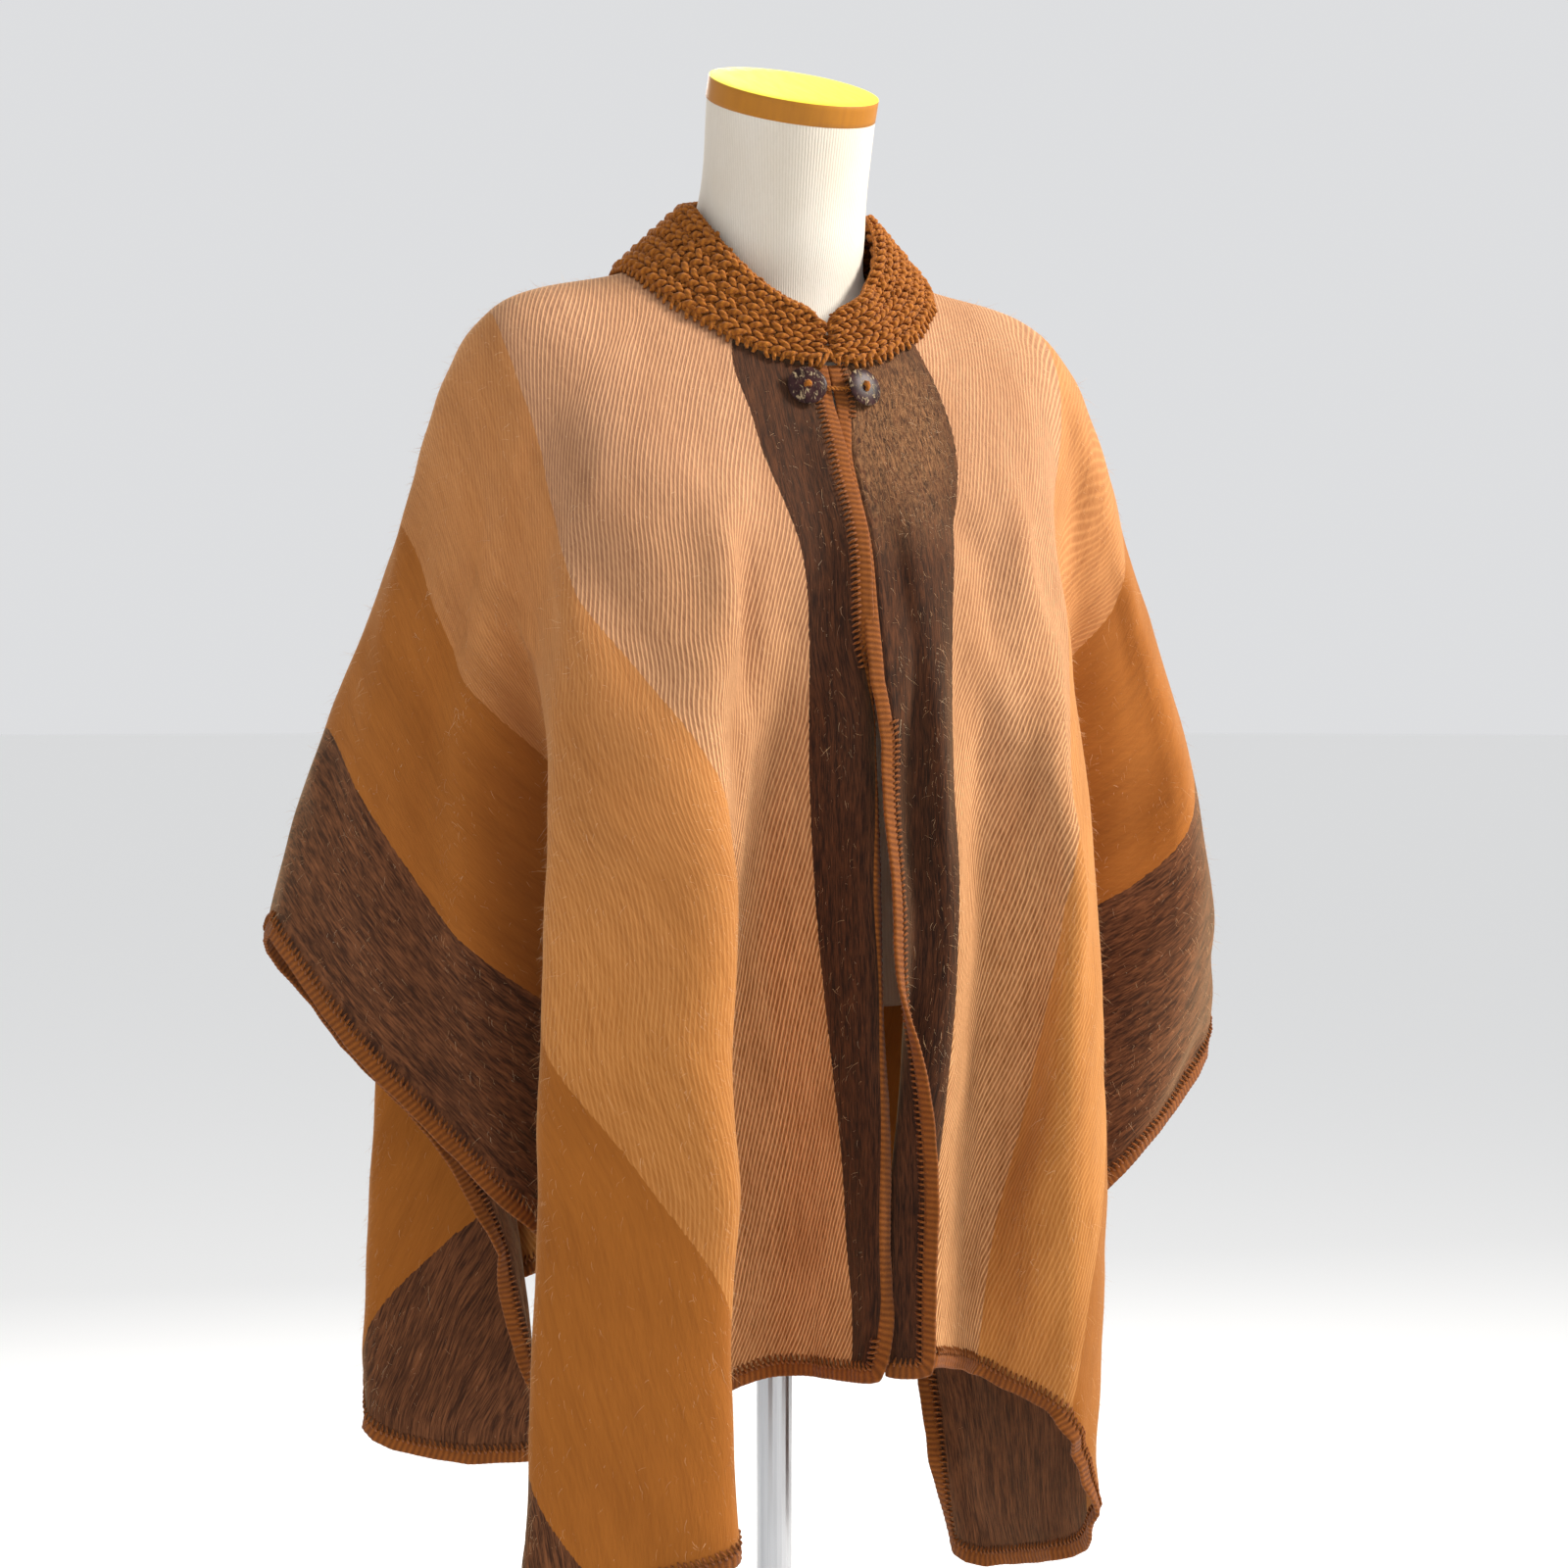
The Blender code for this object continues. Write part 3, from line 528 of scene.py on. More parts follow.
def stripe_place(place):
    """Place across the stripes: the slit leans a little across them."""
    share = np.clip((HALF_LENGTH - place[..., 1]) / (HALF_LENGTH - 0.09), 0, 1)
    pulled = np.where(place[..., 0] < 0, 0.28, 0.08) * np.exp(
        -((place[..., 1] - NECK_FRONT) / 0.035) ** 2 - (place[..., 0] / 0.09) ** 2)
    return place[..., 0] * (1 - pulled * (place[..., 1] > 0)) + STRIPE_LEAN * share


def new_piece(name, points, faces, finish):
    mesh = bpy.data.meshes.new(name)
    mesh.from_pydata([tuple(point) for point in points], [], faces)
    mesh.materials.append(finish)
    mesh.shade_smooth()
    return link(bpy.data.objects.new(name, mesh))


def grid_faces(columns, rows, closed=False):
    faces = []
    for i in range(columns if closed else columns - 1):
        for j in range(rows - 1):
            a, b = i * rows + j, ((i + 1) % columns) * rows + j
            faces.append((a, b, b + 1, a + 1))
    return faces


def set_uv(mesh, name, places):
    """A UV map from one (u, v) place for each vertex."""
    layer = mesh.uv_layers.new(name=name)
    vertex = np.zeros(len(mesh.loops), np.int32)
    mesh.loops.foreach_get("vertex_index", vertex)
    layer.data.foreach_set("uv", np.asarray(places, np.float32)[vertex].ravel())


def thread_places(grid, place, middle):
    """Places on the flat cloth, with steps as long as they are on the hung cloth.

    The hung cloth is a little longer or shorter than the flat one between two
    folds. Threads keep their width, so the weave reads these places instead.
    """
    made = place.copy()
    for order in (range(1, middle + 1), range(len(grid) - 2, middle, -1)):
        back = -1 if order.step == 1 else 1
        for i in order:
            step = place[i] - place[i + back]
            real = np.linalg.norm(grid[i] - grid[i + back], axis=-1)
            drawn = np.maximum(np.linalg.norm(step, axis=-1), 1e-6)
            made[i] = made[i + back] + step * np.clip(real / drawn, 0.55, 1.7)[:, None]
    drift = made - place
    for order in (range(middle + 1), range(len(grid) - 1, middle, -1)):
        for n, i in enumerate(order):
            share = np.clip(2 * n / (len(order) - 1) - 1, 0, 1)
            made[i] -= drift[order[-1]] * share**2 * (3 - 2 * share)
    return made


striped_cloth, _, _ = new_material("striped_cloth", 0.92)
columns, rows = cloth.shape[:2]
cape = new_piece("cape_blanket", cloth.reshape(-1, 3), grid_faces(columns, rows), striped_cloth)
stripes = np.stack((stripe_place(flat), flat[..., 1]), axis=-1)
set_uv(cape.data, "flat_cloth", stripes.reshape(-1, 2))
set_uv(cape.data, "threads", thread_places(cloth, flat, centre_back).reshape(-1, 2))
wall = cape.modifiers.new("wall", "SOLIDIFY")
wall.thickness = CLOTH
wall.offset = 0.0
wall.use_even_offset = False
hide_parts("cape_cloth")
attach(cape, "root")
print("cape quads:", len(cape.data.polygons))

# %% [markdown]
# ### Stripes, twill and nap
# The cloth is woven in wide stripes of undyed and dyed hair yarn. The two lighter
# stripes show a steep twill: pale ribs over a darker ground, almost three
# millimetres apart, broken into short floats. The dark and camel stripes are
# brushed, so they show fine streaks along the warp and hardly a rib. All of it
# reads the cloth's two UV maps, in metres, so it follows the cloth over every fold.

# %% The stripe table and its ramps
Stripe = namedtuple("Stripe", "end ground rib ribs nap")
DARK = ((36, 18, 11), (104, 60, 34))
BORDER = ((54, 30, 18), (148, 92, 56))
CAMEL = ((152, 89, 29), (180, 111, 43))
GOLD = ((166, 102, 42), (222, 158, 92))
TWILL = ((124, 71, 25), (236, 178, 124))
STRIPES = (
    Stripe(-.502, *BORDER, 0.04, 1.0),
    Stripe(-.360, *CAMEL, 0.08, 0.35),
    Stripe(-.200, *GOLD, 0.42, 0.40),
    Stripe(-.040, *TWILL, 1.00, 0.40),
    Stripe(.084, *DARK, 0.04, 1.0),
    Stripe(.213, *TWILL, 0.95, 0.40),
    Stripe(.350, *GOLD, 0.50, 0.40),
    Stripe(.512, *CAMEL, 0.08, 0.35),
    Stripe(.720, *BORDER, 0.04, 1.0),
)
ACROSS_LOW, ACROSS_HIGH = -.720, .760
RIB_PITCH = 0.0029
RIB_LEAN = radians(19.0)
STRIPE_RAG = 0.0022


def stripe_ramp(tree, share, value_of):
    """A stepped ramp over the stripes, from a value that each row gives."""
    starts = [ACROSS_LOW] + [stripe.end for stripe in STRIPES[:-1]]
    stops = [((start - ACROSS_LOW) / (ACROSS_HIGH - ACROSS_LOW), value_of(stripe))
             for start, stripe in zip(starts, STRIPES)]
    return ramp(tree, share, stops, "CONSTANT")


def weave_finish(made):
    """The striped, twilled and brushed cloth on a material's tree."""
    tree = made.node_tree
    shader = tree.nodes["Principled BSDF"]
    shader.inputs["Specular IOR Level"].default_value = 0.18
    shader.inputs["Sheen Weight"].default_value = 0.28
    shader.inputs["Sheen Roughness"].default_value = 0.45
    shader.inputs["Sheen Tint"].default_value = linear(255, 214, 160)
    flat_place = add_node(tree, "ShaderNodeUVMap", {"uv_map": "flat_cloth"}).outputs[0]
    place = add_node(tree, "ShaderNodeUVMap", {"uv_map": "threads"}).outputs[0]
    parts = add_node(tree, "ShaderNodeSeparateXYZ", Vector=place)
    across, along = parts.outputs["X"], parts.outputs["Y"]
    stripe_across = add_node(tree, "ShaderNodeSeparateXYZ", Vector=flat_place).outputs["X"]

    ragged = noise(tree, place, (900, 260, 1), 1.0)
    shifted = math_node(tree, "MULTIPLY_ADD", ragged, STRIPE_RAG, stripe_across)
    share = math_node(tree, "MULTIPLY_ADD", shifted, 1 / (ACROSS_HIGH - ACROSS_LOW),
                      -(ACROSS_LOW + STRIPE_RAG / 2) / (ACROSS_HIGH - ACROSS_LOW))
    ground = stripe_ramp(tree, share, lambda stripe: linear(*stripe.ground))
    rib = stripe_ramp(tree, share, lambda stripe: linear(*stripe.rib))
    ribs = stripe_ramp(tree, share, lambda stripe: stripe.ribs)
    brushed = stripe_ramp(tree, share, lambda stripe: stripe.nap)

    wander = noise(tree, place, (48, 16, 1), 2.0)
    over = math_node(tree, "MULTIPLY", across, cos(RIB_LEAN) * 2 * pi / RIB_PITCH)
    up = math_node(tree, "MULTIPLY", along, sin(RIB_LEAN) * 2 * pi / RIB_PITCH)
    phase = math_node(tree, "ADD", over, up)
    phase = math_node(tree, "MULTIPLY_ADD", wander, 5.0, phase)
    wave = math_node(tree, "POWER", swing(tree, phase), 2.3)
    turned = add_node(tree, "ShaderNodeVectorRotate", {"rotation_type": "Z_AXIS"},
                      Vector=place, Angle=RIB_LEAN)
    floats = noise(tree, turned.outputs[0], (620, 110, 1), 2.0, 0.6)
    floats = math_node(tree, "MULTIPLY_ADD", floats, 2.4, -0.70, clamp=True)
    patchy = noise(tree, place, (30, 12, 1), 3.0)
    patchy = math_node(tree, "MULTIPLY_ADD", patchy, 1.4, 0.22, clamp=True)
    rib_mask = math_node(tree, "MULTIPLY_ADD", wave, 0.90, math_node(tree, "MULTIPLY", floats, 0.26))
    rib_share = math_node(tree, "MULTIPLY", math_node(tree, "MULTIPLY", rib_mask, patchy), ribs, clamp=True)

    nap = noise(tree, place, (1100, 75, 1), 3.0, 0.7)
    nap_wide = noise(tree, place, (300, 20, 1), 3.0, 0.65)
    streaks = math_node(tree, "MULTIPLY_ADD", nap_wide, 1.6, -1.95)
    streaks = math_node(tree, "MULTIPLY_ADD", nap, 3.0, streaks, clamp=True)
    streaks = math_node(tree, "MULTIPLY", streaks, brushed)
    woven = mix_colour(tree, rib_share, ground, rib)
    woven = mix_colour(tree, math_node(tree, "MULTIPLY", streaks, 0.70), woven, rib)
    deep = math_node(tree, "MULTIPLY_ADD", nap_wide, -3.0, 1.60, clamp=True)
    woven = mix_colour(tree, math_node(tree, "MULTIPLY", deep, 0.24), woven,
                       mix_colour(tree, 1.0, woven, (0.42, 0.36, 0.32, 1.0), "MULTIPLY"))

    # Over the shoulders the nap is painted paler and a little pink: a painted sheen, where light falls from
    # above.
    down_front = add_node(tree, "ShaderNodeSeparateXYZ", Vector=flat_place).outputs["Y"]
    from_top = math_node(tree, "ABSOLUTE", down_front)
    sheen_top_share = math_node(tree, "MULTIPLY_ADD", from_top, -1 / 0.34, 0.50 / 0.34, clamp=True)
    painted_sheen = math_node(tree, "MULTIPLY_ADD", patchy, 0.18, 0.22)
    painted_sheen = math_node(tree, "MULTIPLY", math_node(tree, "MULTIPLY", sheen_top_share, ribs), painted_sheen)
    woven = mix_colour(tree, painted_sheen, woven, linear(178, 136, 114))
    # Beside the slit just under the collar it stands up as a pale fuzz, and is painted paler still as a
    # painted patch of light on the chest.
    beside = math_node(tree, "ABSOLUTE", math_node(tree, "SUBTRACT", stripe_across, 0.050))
    beside = math_node(tree, "MULTIPLY_ADD", beside, -1 / 0.030, 1.7, clamp=True)
    under = math_node(tree, "ABSOLUTE", math_node(tree, "SUBTRACT", down_front, 0.130))
    under = math_node(tree, "MULTIPLY_ADD", under, -1 / 0.080, 1.35, clamp=True)
    tufts = noise(tree, place, (800, 160, 1), 4.0, 0.75, 0.8)
    tufts = math_node(tree, "MULTIPLY_ADD", tufts, 4.2, -1.75, clamp=True)
    fuzz_and_painted_light = math_node(tree, "MULTIPLY", math_node(tree, "MULTIPLY", beside, under), tufts)
    woven = mix_colour(tree, math_node(tree, "MULTIPLY", fuzz_and_painted_light, 0.62), woven, linear(176, 126, 82))

    clouds = noise(tree, flat_place, (16, 4, 1), 3.0)
    worn = ramp(tree, clouds, ((0.28, (0.84, 0.80, 0.76, 1.0)), (0.72, (1.08, 1.08, 1.10, 1.0))))
    woven = mix_colour(tree, 1.0, woven, worn, "MULTIPLY")
    tree.links.new(woven, shader.inputs["Base Color"])

    relief = math_node(tree, "MULTIPLY_ADD", rib_share, 0.8, math_node(tree, "MULTIPLY", nap, 0.6))
    tree.links.new(bump(tree, relief, 0.0009, 0.75), shader.inputs["Normal"])


weave_finish(striped_cloth)
print("stripes:", len(STRIPES))

# %% [markdown]
# ## Yarn
# All the crochet is golden brown yarn; along the cloth's edge the same yarn is painted darker, as painted
# shade. A stitch seen close is a few plump lobes of yarn that cross each other, so each
# kind of stitch is made once, as tubes along short paths, and Geometry Nodes sets
# it at every place where the crochet has one. The tree reads three values at each
# place: which way the stitch points, which way it faces, and its size. A little
# seeded turn and size keeps it hand made.

# %% Tubes of yarn
Tube = namedtuple("Tube", "points faces uvs")


def refined(path, radii, count):
    """More points along a short path, with their radii."""
    knots = np.linspace(0, 1, len(path))
    values = np.column_stack((np.asarray(path, float), np.asarray(radii, float)))
    fine = spline(knots, values, np.linspace(0, 1, count)) if len(path) > 2 else values
    return fine[:, :3], fine[:, 3]


def skin_of_rings(count, sides, along, whole=1.0):
    """Faces between rings of points, with UVs: round them, and along them in metres."""
    faces, uvs = [], []
    for j in range(count - 1):
        for k in range(sides):
            a, b = j * sides + k, j * sides + (k + 1) % sides
            faces.append((a, b, b + sides, a + sides))
            u, v = whole * k / sides, whole * (k + 1) / sides
            uvs += [(u, along[j]), (v, along[j]), (v, along[j + 1]), (u, along[j + 1])]
    return faces, uvs


def tube(path, radii, sides, capped=True):
    """A closed tube along points, with UVs: round it, and along it in metres."""
    path = np.asarray(path, float)
    ahead = unit(np.gradient(path, axis=0))
    side = unit(np.cross(ahead[0], (0.31, 0.95, 0.17)))
    points, along = [], running(np.linalg.norm(np.diff(path, axis=0), axis=1))
    for centre, heading, radius in zip(path, ahead, radii):
        side = unit(side - heading * (side @ heading))
        other = np.cross(heading, side)
        for k in range(sides):
            turn = 2 * pi * k / sides
            points.append(centre + radius * (side * cos(turn) + other * sin(turn)))
    faces, uvs = skin_of_rings(len(path), sides, along)
    if capped:
        last = (len(path) - 1) * sides
        faces += [tuple(range(sides))[::-1], tuple(range(last, last + sides))]
        uvs += [(k / sides, along[0]) for k in range(sides)][::-1]
        uvs += [(k / sides, along[-1]) for k in range(sides)]
    return Tube(points, faces, uvs)


def tubes_mesh(name, tubes, finish):
    """One mesh from several tubes, with their UVs in a map called yarn."""
    points, faces, uvs = [], [], []
    for part in tubes:
        start = len(points)
        points += [tuple(point) for point in part.points]
        faces += [tuple(start + k for k in face) for face in part.faces]
        uvs += part.uvs
    mesh = bpy.data.meshes.new(name)
    mesh.from_pydata(points, [], faces)
    layer = mesh.uv_layers.new(name="yarn")
    layer.data.foreach_set("uv", np.asarray(uvs, np.float32).ravel())
    mesh.materials.append(finish)
    mesh.shade_smooth()
    return mesh


# %% Yarn's finish: two plies with painted highlights on their crests and painted shade in their grooves, fine fibres and uneven dye
PLY_PITCH = 0.0042


def yarn_finish(name, shade, light, deep):
    made, tree, shader = new_material(name, 0.90, Sheen_Weight=0.08, Sheen_Roughness=0.5,
                                      Specular_IOR_Level=0.2)
    place = coordinates(tree, "UV")
    parts = add_node(tree, "ShaderNodeSeparateXYZ", Vector=place)
    ply = math_node(tree, "MULTIPLY_ADD", parts.outputs["Y"], 2 * pi / PLY_PITCH,
                    math_node(tree, "MULTIPLY", parts.outputs["X"], 4 * pi))
    plies = swing(tree, ply)
    where = coordinates(tree)
    fibres = noise(tree, where, (1900, 1900, 1900), 3.0, 0.7)
    uneven = noise(tree, where, (90, 90, 90), 2.0)
    # The shade and light colours are painted shade in the plies' grooves and a painted highlight on their
    # crests.
    share = math_node(tree, "MULTIPLY_ADD", fibres, 0.9, -0.25)
    share = math_node(tree, "MULTIPLY_ADD", plies, 0.45, share, clamp=True)
    body = mix_colour(tree, share, linear(*shade), linear(*light))
    uneven = math_node(tree, "MULTIPLY_ADD", uneven, 1.6, -0.55, clamp=True)
    dyed = mix_colour(tree, uneven, body, linear(*deep))
    tree.links.new(mix_colour(tree, 0.35, body, dyed), shader.inputs["Base Color"])
    relief = math_node(tree, "MULTIPLY_ADD", plies, 0.8, math_node(tree, "MULTIPLY", fibres, 0.7))
    tree.links.new(bump(tree, relief, 0.0005, 0.8), shader.inputs["Normal"])
    return made


crochet_yarn = yarn_finish("crochet_yarn", (118, 62, 15), (198, 122, 40), (90, 45, 10))
# The edge's yarn is the collar's yarn painted darker: painted shade.
edge_yarn = yarn_finish("edge_yarn", (92, 46, 13), (164, 94, 34), (66, 33, 9))
print("yarn finish made")

# %% The tree that sets stitches
def stitch_setter():
    """Geometry Nodes: one instance at each vertex, turned by its attributes, then made real."""
    tree = bpy.data.node_groups.new("set_stitches", "GeometryNodeTree")
    face = tree.interface
    face.new_socket("Geometry", in_out="INPUT", socket_type="NodeSocketGeometry")
    for name, kind in (("Stitch", "Object"), ("Finish", "Material"), ("Turn Spread", "Float"),
                       ("Size Spread", "Float"), ("Seed", "Int")):
        face.new_socket(name, in_out="INPUT", socket_type="NodeSocket" + kind)
    face.new_socket("Geometry", in_out="OUTPUT", socket_type="NodeSocketGeometry")
    given = tree.nodes.new("NodeGroupInput").outputs
    stitch = add_node(tree, "GeometryNodeObjectInfo", {"transform_space": "ORIGINAL"}, Object=given["Stitch"])

    def attribute(name):
        node = add_node(tree, "GeometryNodeInputNamedAttribute", {"data_type": "FLOAT_VECTOR"}, Name=name)
        return node.outputs["Attribute"]

    turned = add_node(tree, "FunctionNodeAxesToRotation", {"primary_axis": "Y", "secondary_axis": "Z"})
    tree.links.new(attribute("outward"), turned.inputs["Primary Axis"])
    tree.links.new(attribute("facing"), turned.inputs["Secondary Axis"])
    spread = math_node(tree, "MULTIPLY", given["Turn Spread"], -1.0)
    wobble = add_node(tree, "FunctionNodeRandomValue", {"data_type": "FLOAT_VECTOR"})
    for key, value in ((0, spread), (1, given["Turn Spread"]), ("Seed", given["Seed"])):
        tree.links.new(value, wobble.inputs[key])
    uneven = add_node(tree, "FunctionNodeRotateRotation", {"rotation_space": "LOCAL"})
    tree.links.new(turned.outputs[0], uneven.inputs["Rotation"])
    tree.links.new(wobble.outputs[0], uneven.inputs["Rotate By"])
    small = math_node(tree, "SUBTRACT", 1.0, given["Size Spread"])
    large = math_node(tree, "ADD", 1.0, given["Size Spread"])
    grow = add_node(tree, "FunctionNodeRandomValue", {"data_type": "FLOAT"})
    for key, value in ((2, small), (3, large), ("Seed", given["Seed"])):
        tree.links.new(value, grow.inputs[key])
    size = add_node(tree, "ShaderNodeVectorMath", {"operation": "SCALE"})
    tree.links.new(attribute("size"), size.inputs[0])
    tree.links.new(grow.outputs[1], size.inputs["Scale"])
    placed = tree.nodes.new("GeometryNodeInstanceOnPoints")
    for key, value in (("Points", given["Geometry"]), ("Instance", stitch.outputs["Geometry"]),
                       ("Rotation", uneven.outputs[0]), ("Scale", size.outputs[0])):
        tree.links.new(value, placed.inputs[key])
    real = tree.nodes.new("GeometryNodeRealizeInstances")
    tree.links.new(placed.outputs[0], real.inputs[0])
    finish = tree.nodes.new("GeometryNodeSetMaterial")
    tree.links.new(real.outputs[0], finish.inputs["Geometry"])
    tree.links.new(given["Finish"], finish.inputs["Material"])
    tree.links.new(finish.outputs[0], tree.nodes.new("NodeGroupOutput").inputs[0])
    return tree


SET_STITCHES = stitch_setter()


def stitched(name, places, outward, facing, sizes, stitch_mesh, finish, turn_spread, size_spread, seed):
    """A plain mesh with a stitch at every place, made by the tree above."""
    mesh = bpy.data.meshes.new(name)
    mesh.from_pydata([tuple(place) for place in places], [], [])
    for key, values in (("outward", outward), ("facing", facing), ("size", sizes)):
        layer = mesh.attributes.new(key, "FLOAT_VECTOR", "POINT")
        layer.data.foreach_set("vector", np.asarray(values, np.float32).ravel())
    made = link(bpy.data.objects.new(name, mesh))
    pattern = link(bpy.data.objects.new(name + "_stitch", stitch_mesh))
    setter = made.modifiers.new("stitches", "NODES")
    setter.node_group = SET_STITCHES
    values = {"Stitch": pattern, "Finish": finish, "Turn Spread": turn_spread,
              "Size Spread": size_spread, "Seed": seed}
    for item in SET_STITCHES.interface.items_tree:
        if item.in_out == "INPUT" and item.name in values:
            setter[item.identifier] = values[item.name]
    bpy.context.view_layer.update()
    evaluated = made.evaluated_get(bpy.context.evaluated_depsgraph_get())
    made.data = bpy.data.meshes.new_from_object(evaluated)
    made.modifiers.clear()
    bpy.data.objects.remove(pattern)
    triangles = sum(len(face.vertices) - 2 for face in made.data.polygons)
    print(name, len(places), "stitches,", triangles, "triangles")
    return made


def joined(target, mesh):
    """Adds a plain mesh to a piece, so both are one piece."""
    other = link(bpy.data.objects.new(target.name + "_part", mesh))
    with bpy.context.temp_override(active_object=target, selected_editable_objects=[target, other],
                                   selected_objects=[target, other]):
        bpy.ops.object.join()


# %% [markdown]
# ## The crocheted edge
# A tight band of stitches runs round every cut edge: down the slit, round the hem
# and the sides, and back up the slit. Its face shows slanted ridges, one for each
# stitch, and a twisted cord along the rim. From its inner side a short leg of
# yarn goes into the cloth at every stitch, and another behind, except where the
# edge is covered by the other one or turned under.

# %% The rim's path and its stations
STITCH_PITCH = 0.0040
STATION_REACH = 0.008
rim_path = np.concatenate((cloth[0], cloth[1:, -1], cloth[-1, -2::-1]))
rim_facing = np.concatenate((normals[0], normals[1:, -1], normals[-1, -2::-1]))


def stations(pitch):
    """Evenly spaced places on the rim, with their outward and facing directions."""
    run = running(np.linalg.norm(np.diff(rim_path, axis=0), axis=1))
    at = np.arange(pitch / 2, run[-1], pitch)

    def read(values, where):
        return np.array([np.interp(where, run, values[:, axis]) for axis in range(3)]).T

    ahead = unit(read(rim_path, at + STATION_REACH) - read(rim_path, at - STATION_REACH))
    facing = unit(read(rim_facing, at))
    outward = unit(np.cross(facing, ahead))
    facing = unit(np.cross(ahead, outward))
    place = read(rim_path, at)
    turn = (TURN_ANGLE * share_at(TURNED_UNDER, place[:, 2]) * (at < SLIT_RUN))[:, None]
    level, dip = np.cos(turn), np.sin(turn)
    return at, place, outward * level - facing * dip, facing * level + outward * dip, run[-1]


rim_at, rim_place, rim_out, rim_face, rim_long = stations(STITCH_PITCH)
print("rim", round(rim_long, 2), "m long,", len(rim_at), "stitches")

# %% The edge's legs and its ridged band
MM = 0.001
FRONT_LEG = ((1.1, -4.7, 0.9), (0.7, -3.1, 2.0), (0.0, -0.6, 2.6), (-0.8, 2.2, 1.7))
BACK_LEG = ((0.2, -4.2, -1.0), (0.0, -2.6, -2.0), (-0.4, -0.4, -2.4), (-0.8, 2.0, -1.5))
LEG_RADII = (0.45, 0.95, 1.10, 0.80)
BAND_SIDES = 12
BAND_START, BAND_HALF_THICK = -0.0008, 0.00155
RIDGE_SLANT, CORD_SLANT = 0.75, -1.4
RIDGE_RAISED, GROOVE_DEEP = 0.00070, 0.00075
CORD_IN = 0.0074
LEGS_SHOW_BELOW = 0.35


def scaled(path, mirror=(1, 1, 1)):
    return np.asarray(path, float) * MM * mirror


edge_stitch = tubes_mesh("edge_stitch", [tube(scaled(FRONT_LEG), np.array(LEG_RADII) * MM, 5),
                                         tube(scaled(BACK_LEG), np.array(LEG_RADII) * MM, 4)], edge_yarn)


def ridged_band(at_least, at_most):
    """The band of the edge between two stations, as rings with a ridge for each stitch."""
    at, place, outward, facing, _ = stations(STITCH_PITCH / 5)
    keep = (at >= at_least) & (at <= at_most)
    at, place, outward, facing = at[keep, None], place[keep], outward[keep], facing[keep]
    turn = 2 * pi * np.arange(BAND_SIDES) / BAND_SIDES
    out = BAND_START + EDGING_WIDTH / 2 * (1.06 + 1.03 * np.cos(turn))
    wander = 0.0007 * np.sin(at / 0.031) + 0.0005 * np.sin(at / 0.013 + 1.0)
    inner = np.abs(np.cos(pi * (at + wander + RIDGE_SLANT * out) / STITCH_PITCH))
    cord = np.abs(np.cos(pi * (at + CORD_SLANT * out) / STITCH_PITCH + 0.7))
    on_cord = np.clip((out - CORD_IN) / 0.0008, 0, 1)
    raised = RIDGE_RAISED * (inner ** 0.7 * (1 - on_cord) + cord ** 0.7 * on_cord)
    raised = raised - GROOVE_DEEP * np.exp(-((out - CORD_IN) / 0.0009) ** 2)
    thick = (BAND_HALF_THICK + raised) * np.sign(np.sin(turn)) * np.abs(np.sin(turn)) ** 0.6
    reach = out * (1 + 0.035 * np.sin(at / 0.017) * np.sin(at / 0.0063)) + 0.0002 * cord * (out > 0.009)
    points = place[:, None] + outward[:, None] * reach[..., None] + facing[:, None] * thick[..., None]
    count, sides = points.shape[:2]
    faces, uvs = skin_of_rings(count, sides, at[:, 0], 0.5)
    faces += [tuple(range(sides))[::-1], tuple(range((count - 1) * sides, count * sides))]
    return Tube(points.reshape(-1, 3), faces, uvs + [(0.0, 0.0)] * (2 * sides))


middle_of_rim = rim_long / 2
edges = []
for name, low, high, seed in (("edging_right", 0.0, middle_of_rim, 3),
                              ("edging_left", middle_of_rim, rim_long, 5)):
    keep = (rim_at >= low) & (rim_at < high)
    keep &= (rim_at > SLIT_RUN) | (share_at(TURNED_UNDER, rim_place[:, 2]) < LEGS_SHOW_BELOW)
    keep &= (rim_at < rim_long - SLIT_RUN) | (share_at(LAID_OVER, rim_place[:, 2]) < LEGS_SHOW_BELOW)
    random = np.random.default_rng(seed)
    sizes = np.ones((keep.sum(), 3)) * random.uniform(0.94, 1.05, (keep.sum(), 1))
    sizes[:, 1] *= random.uniform(0.92, 1.06, keep.sum())
    piece = stitched(name, rim_place[keep], rim_out[keep], rim_face[keep], sizes, edge_stitch.copy(),
                     edge_yarn, 0.10, 0.05, seed)
    joined(piece, tubes_mesh(name + "_band", [ridged_band(low, high)], edge_yarn))
    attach(piece, "root")
    edges.append(piece)
for piece in edges:
    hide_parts("edging")

# %% [markdown]
# ## The crocheted collar
# The collar is a band crocheted round the neck: plump slanted stitches in rows,
# each row leaning the other way, a fine chain along the top edge and the two
# ends, and a row of plump stitches that sews its foot to the cloth. A knitted
# texture on a plain band would look flat at the rim, so every stitch is real. A
# thin band behind them closes the gaps.

# %% The band's surface
COLLAR_END_TURN = 2.0
COLLAR_ROUND_TURN = 12.0
COLLAR_END_ROUND = 0.010
COLLAR_LIFT = 0.0016
COLLAR_ROWS = 8
COLLAR_STITCHES = 76
COLLAR_STITCH_WIDE, COLLAR_STITCH_TALL = 0.0078, 0.0080


def collar_top(turn):
    """The collar's upper edge, a V at the front and high at the nape."""
    fore, out = cos(radians(turn)), 0.0655 * sin(radians(turn))
    if fore > 0:
        return np.array((out, -0.008 - 0.0700 * fore, 1.449 - 0.074 * fore**1.3))
    return np.array((out, -0.008 - 0.0576 * fore, 1.449 + 0.015 * fore**2))


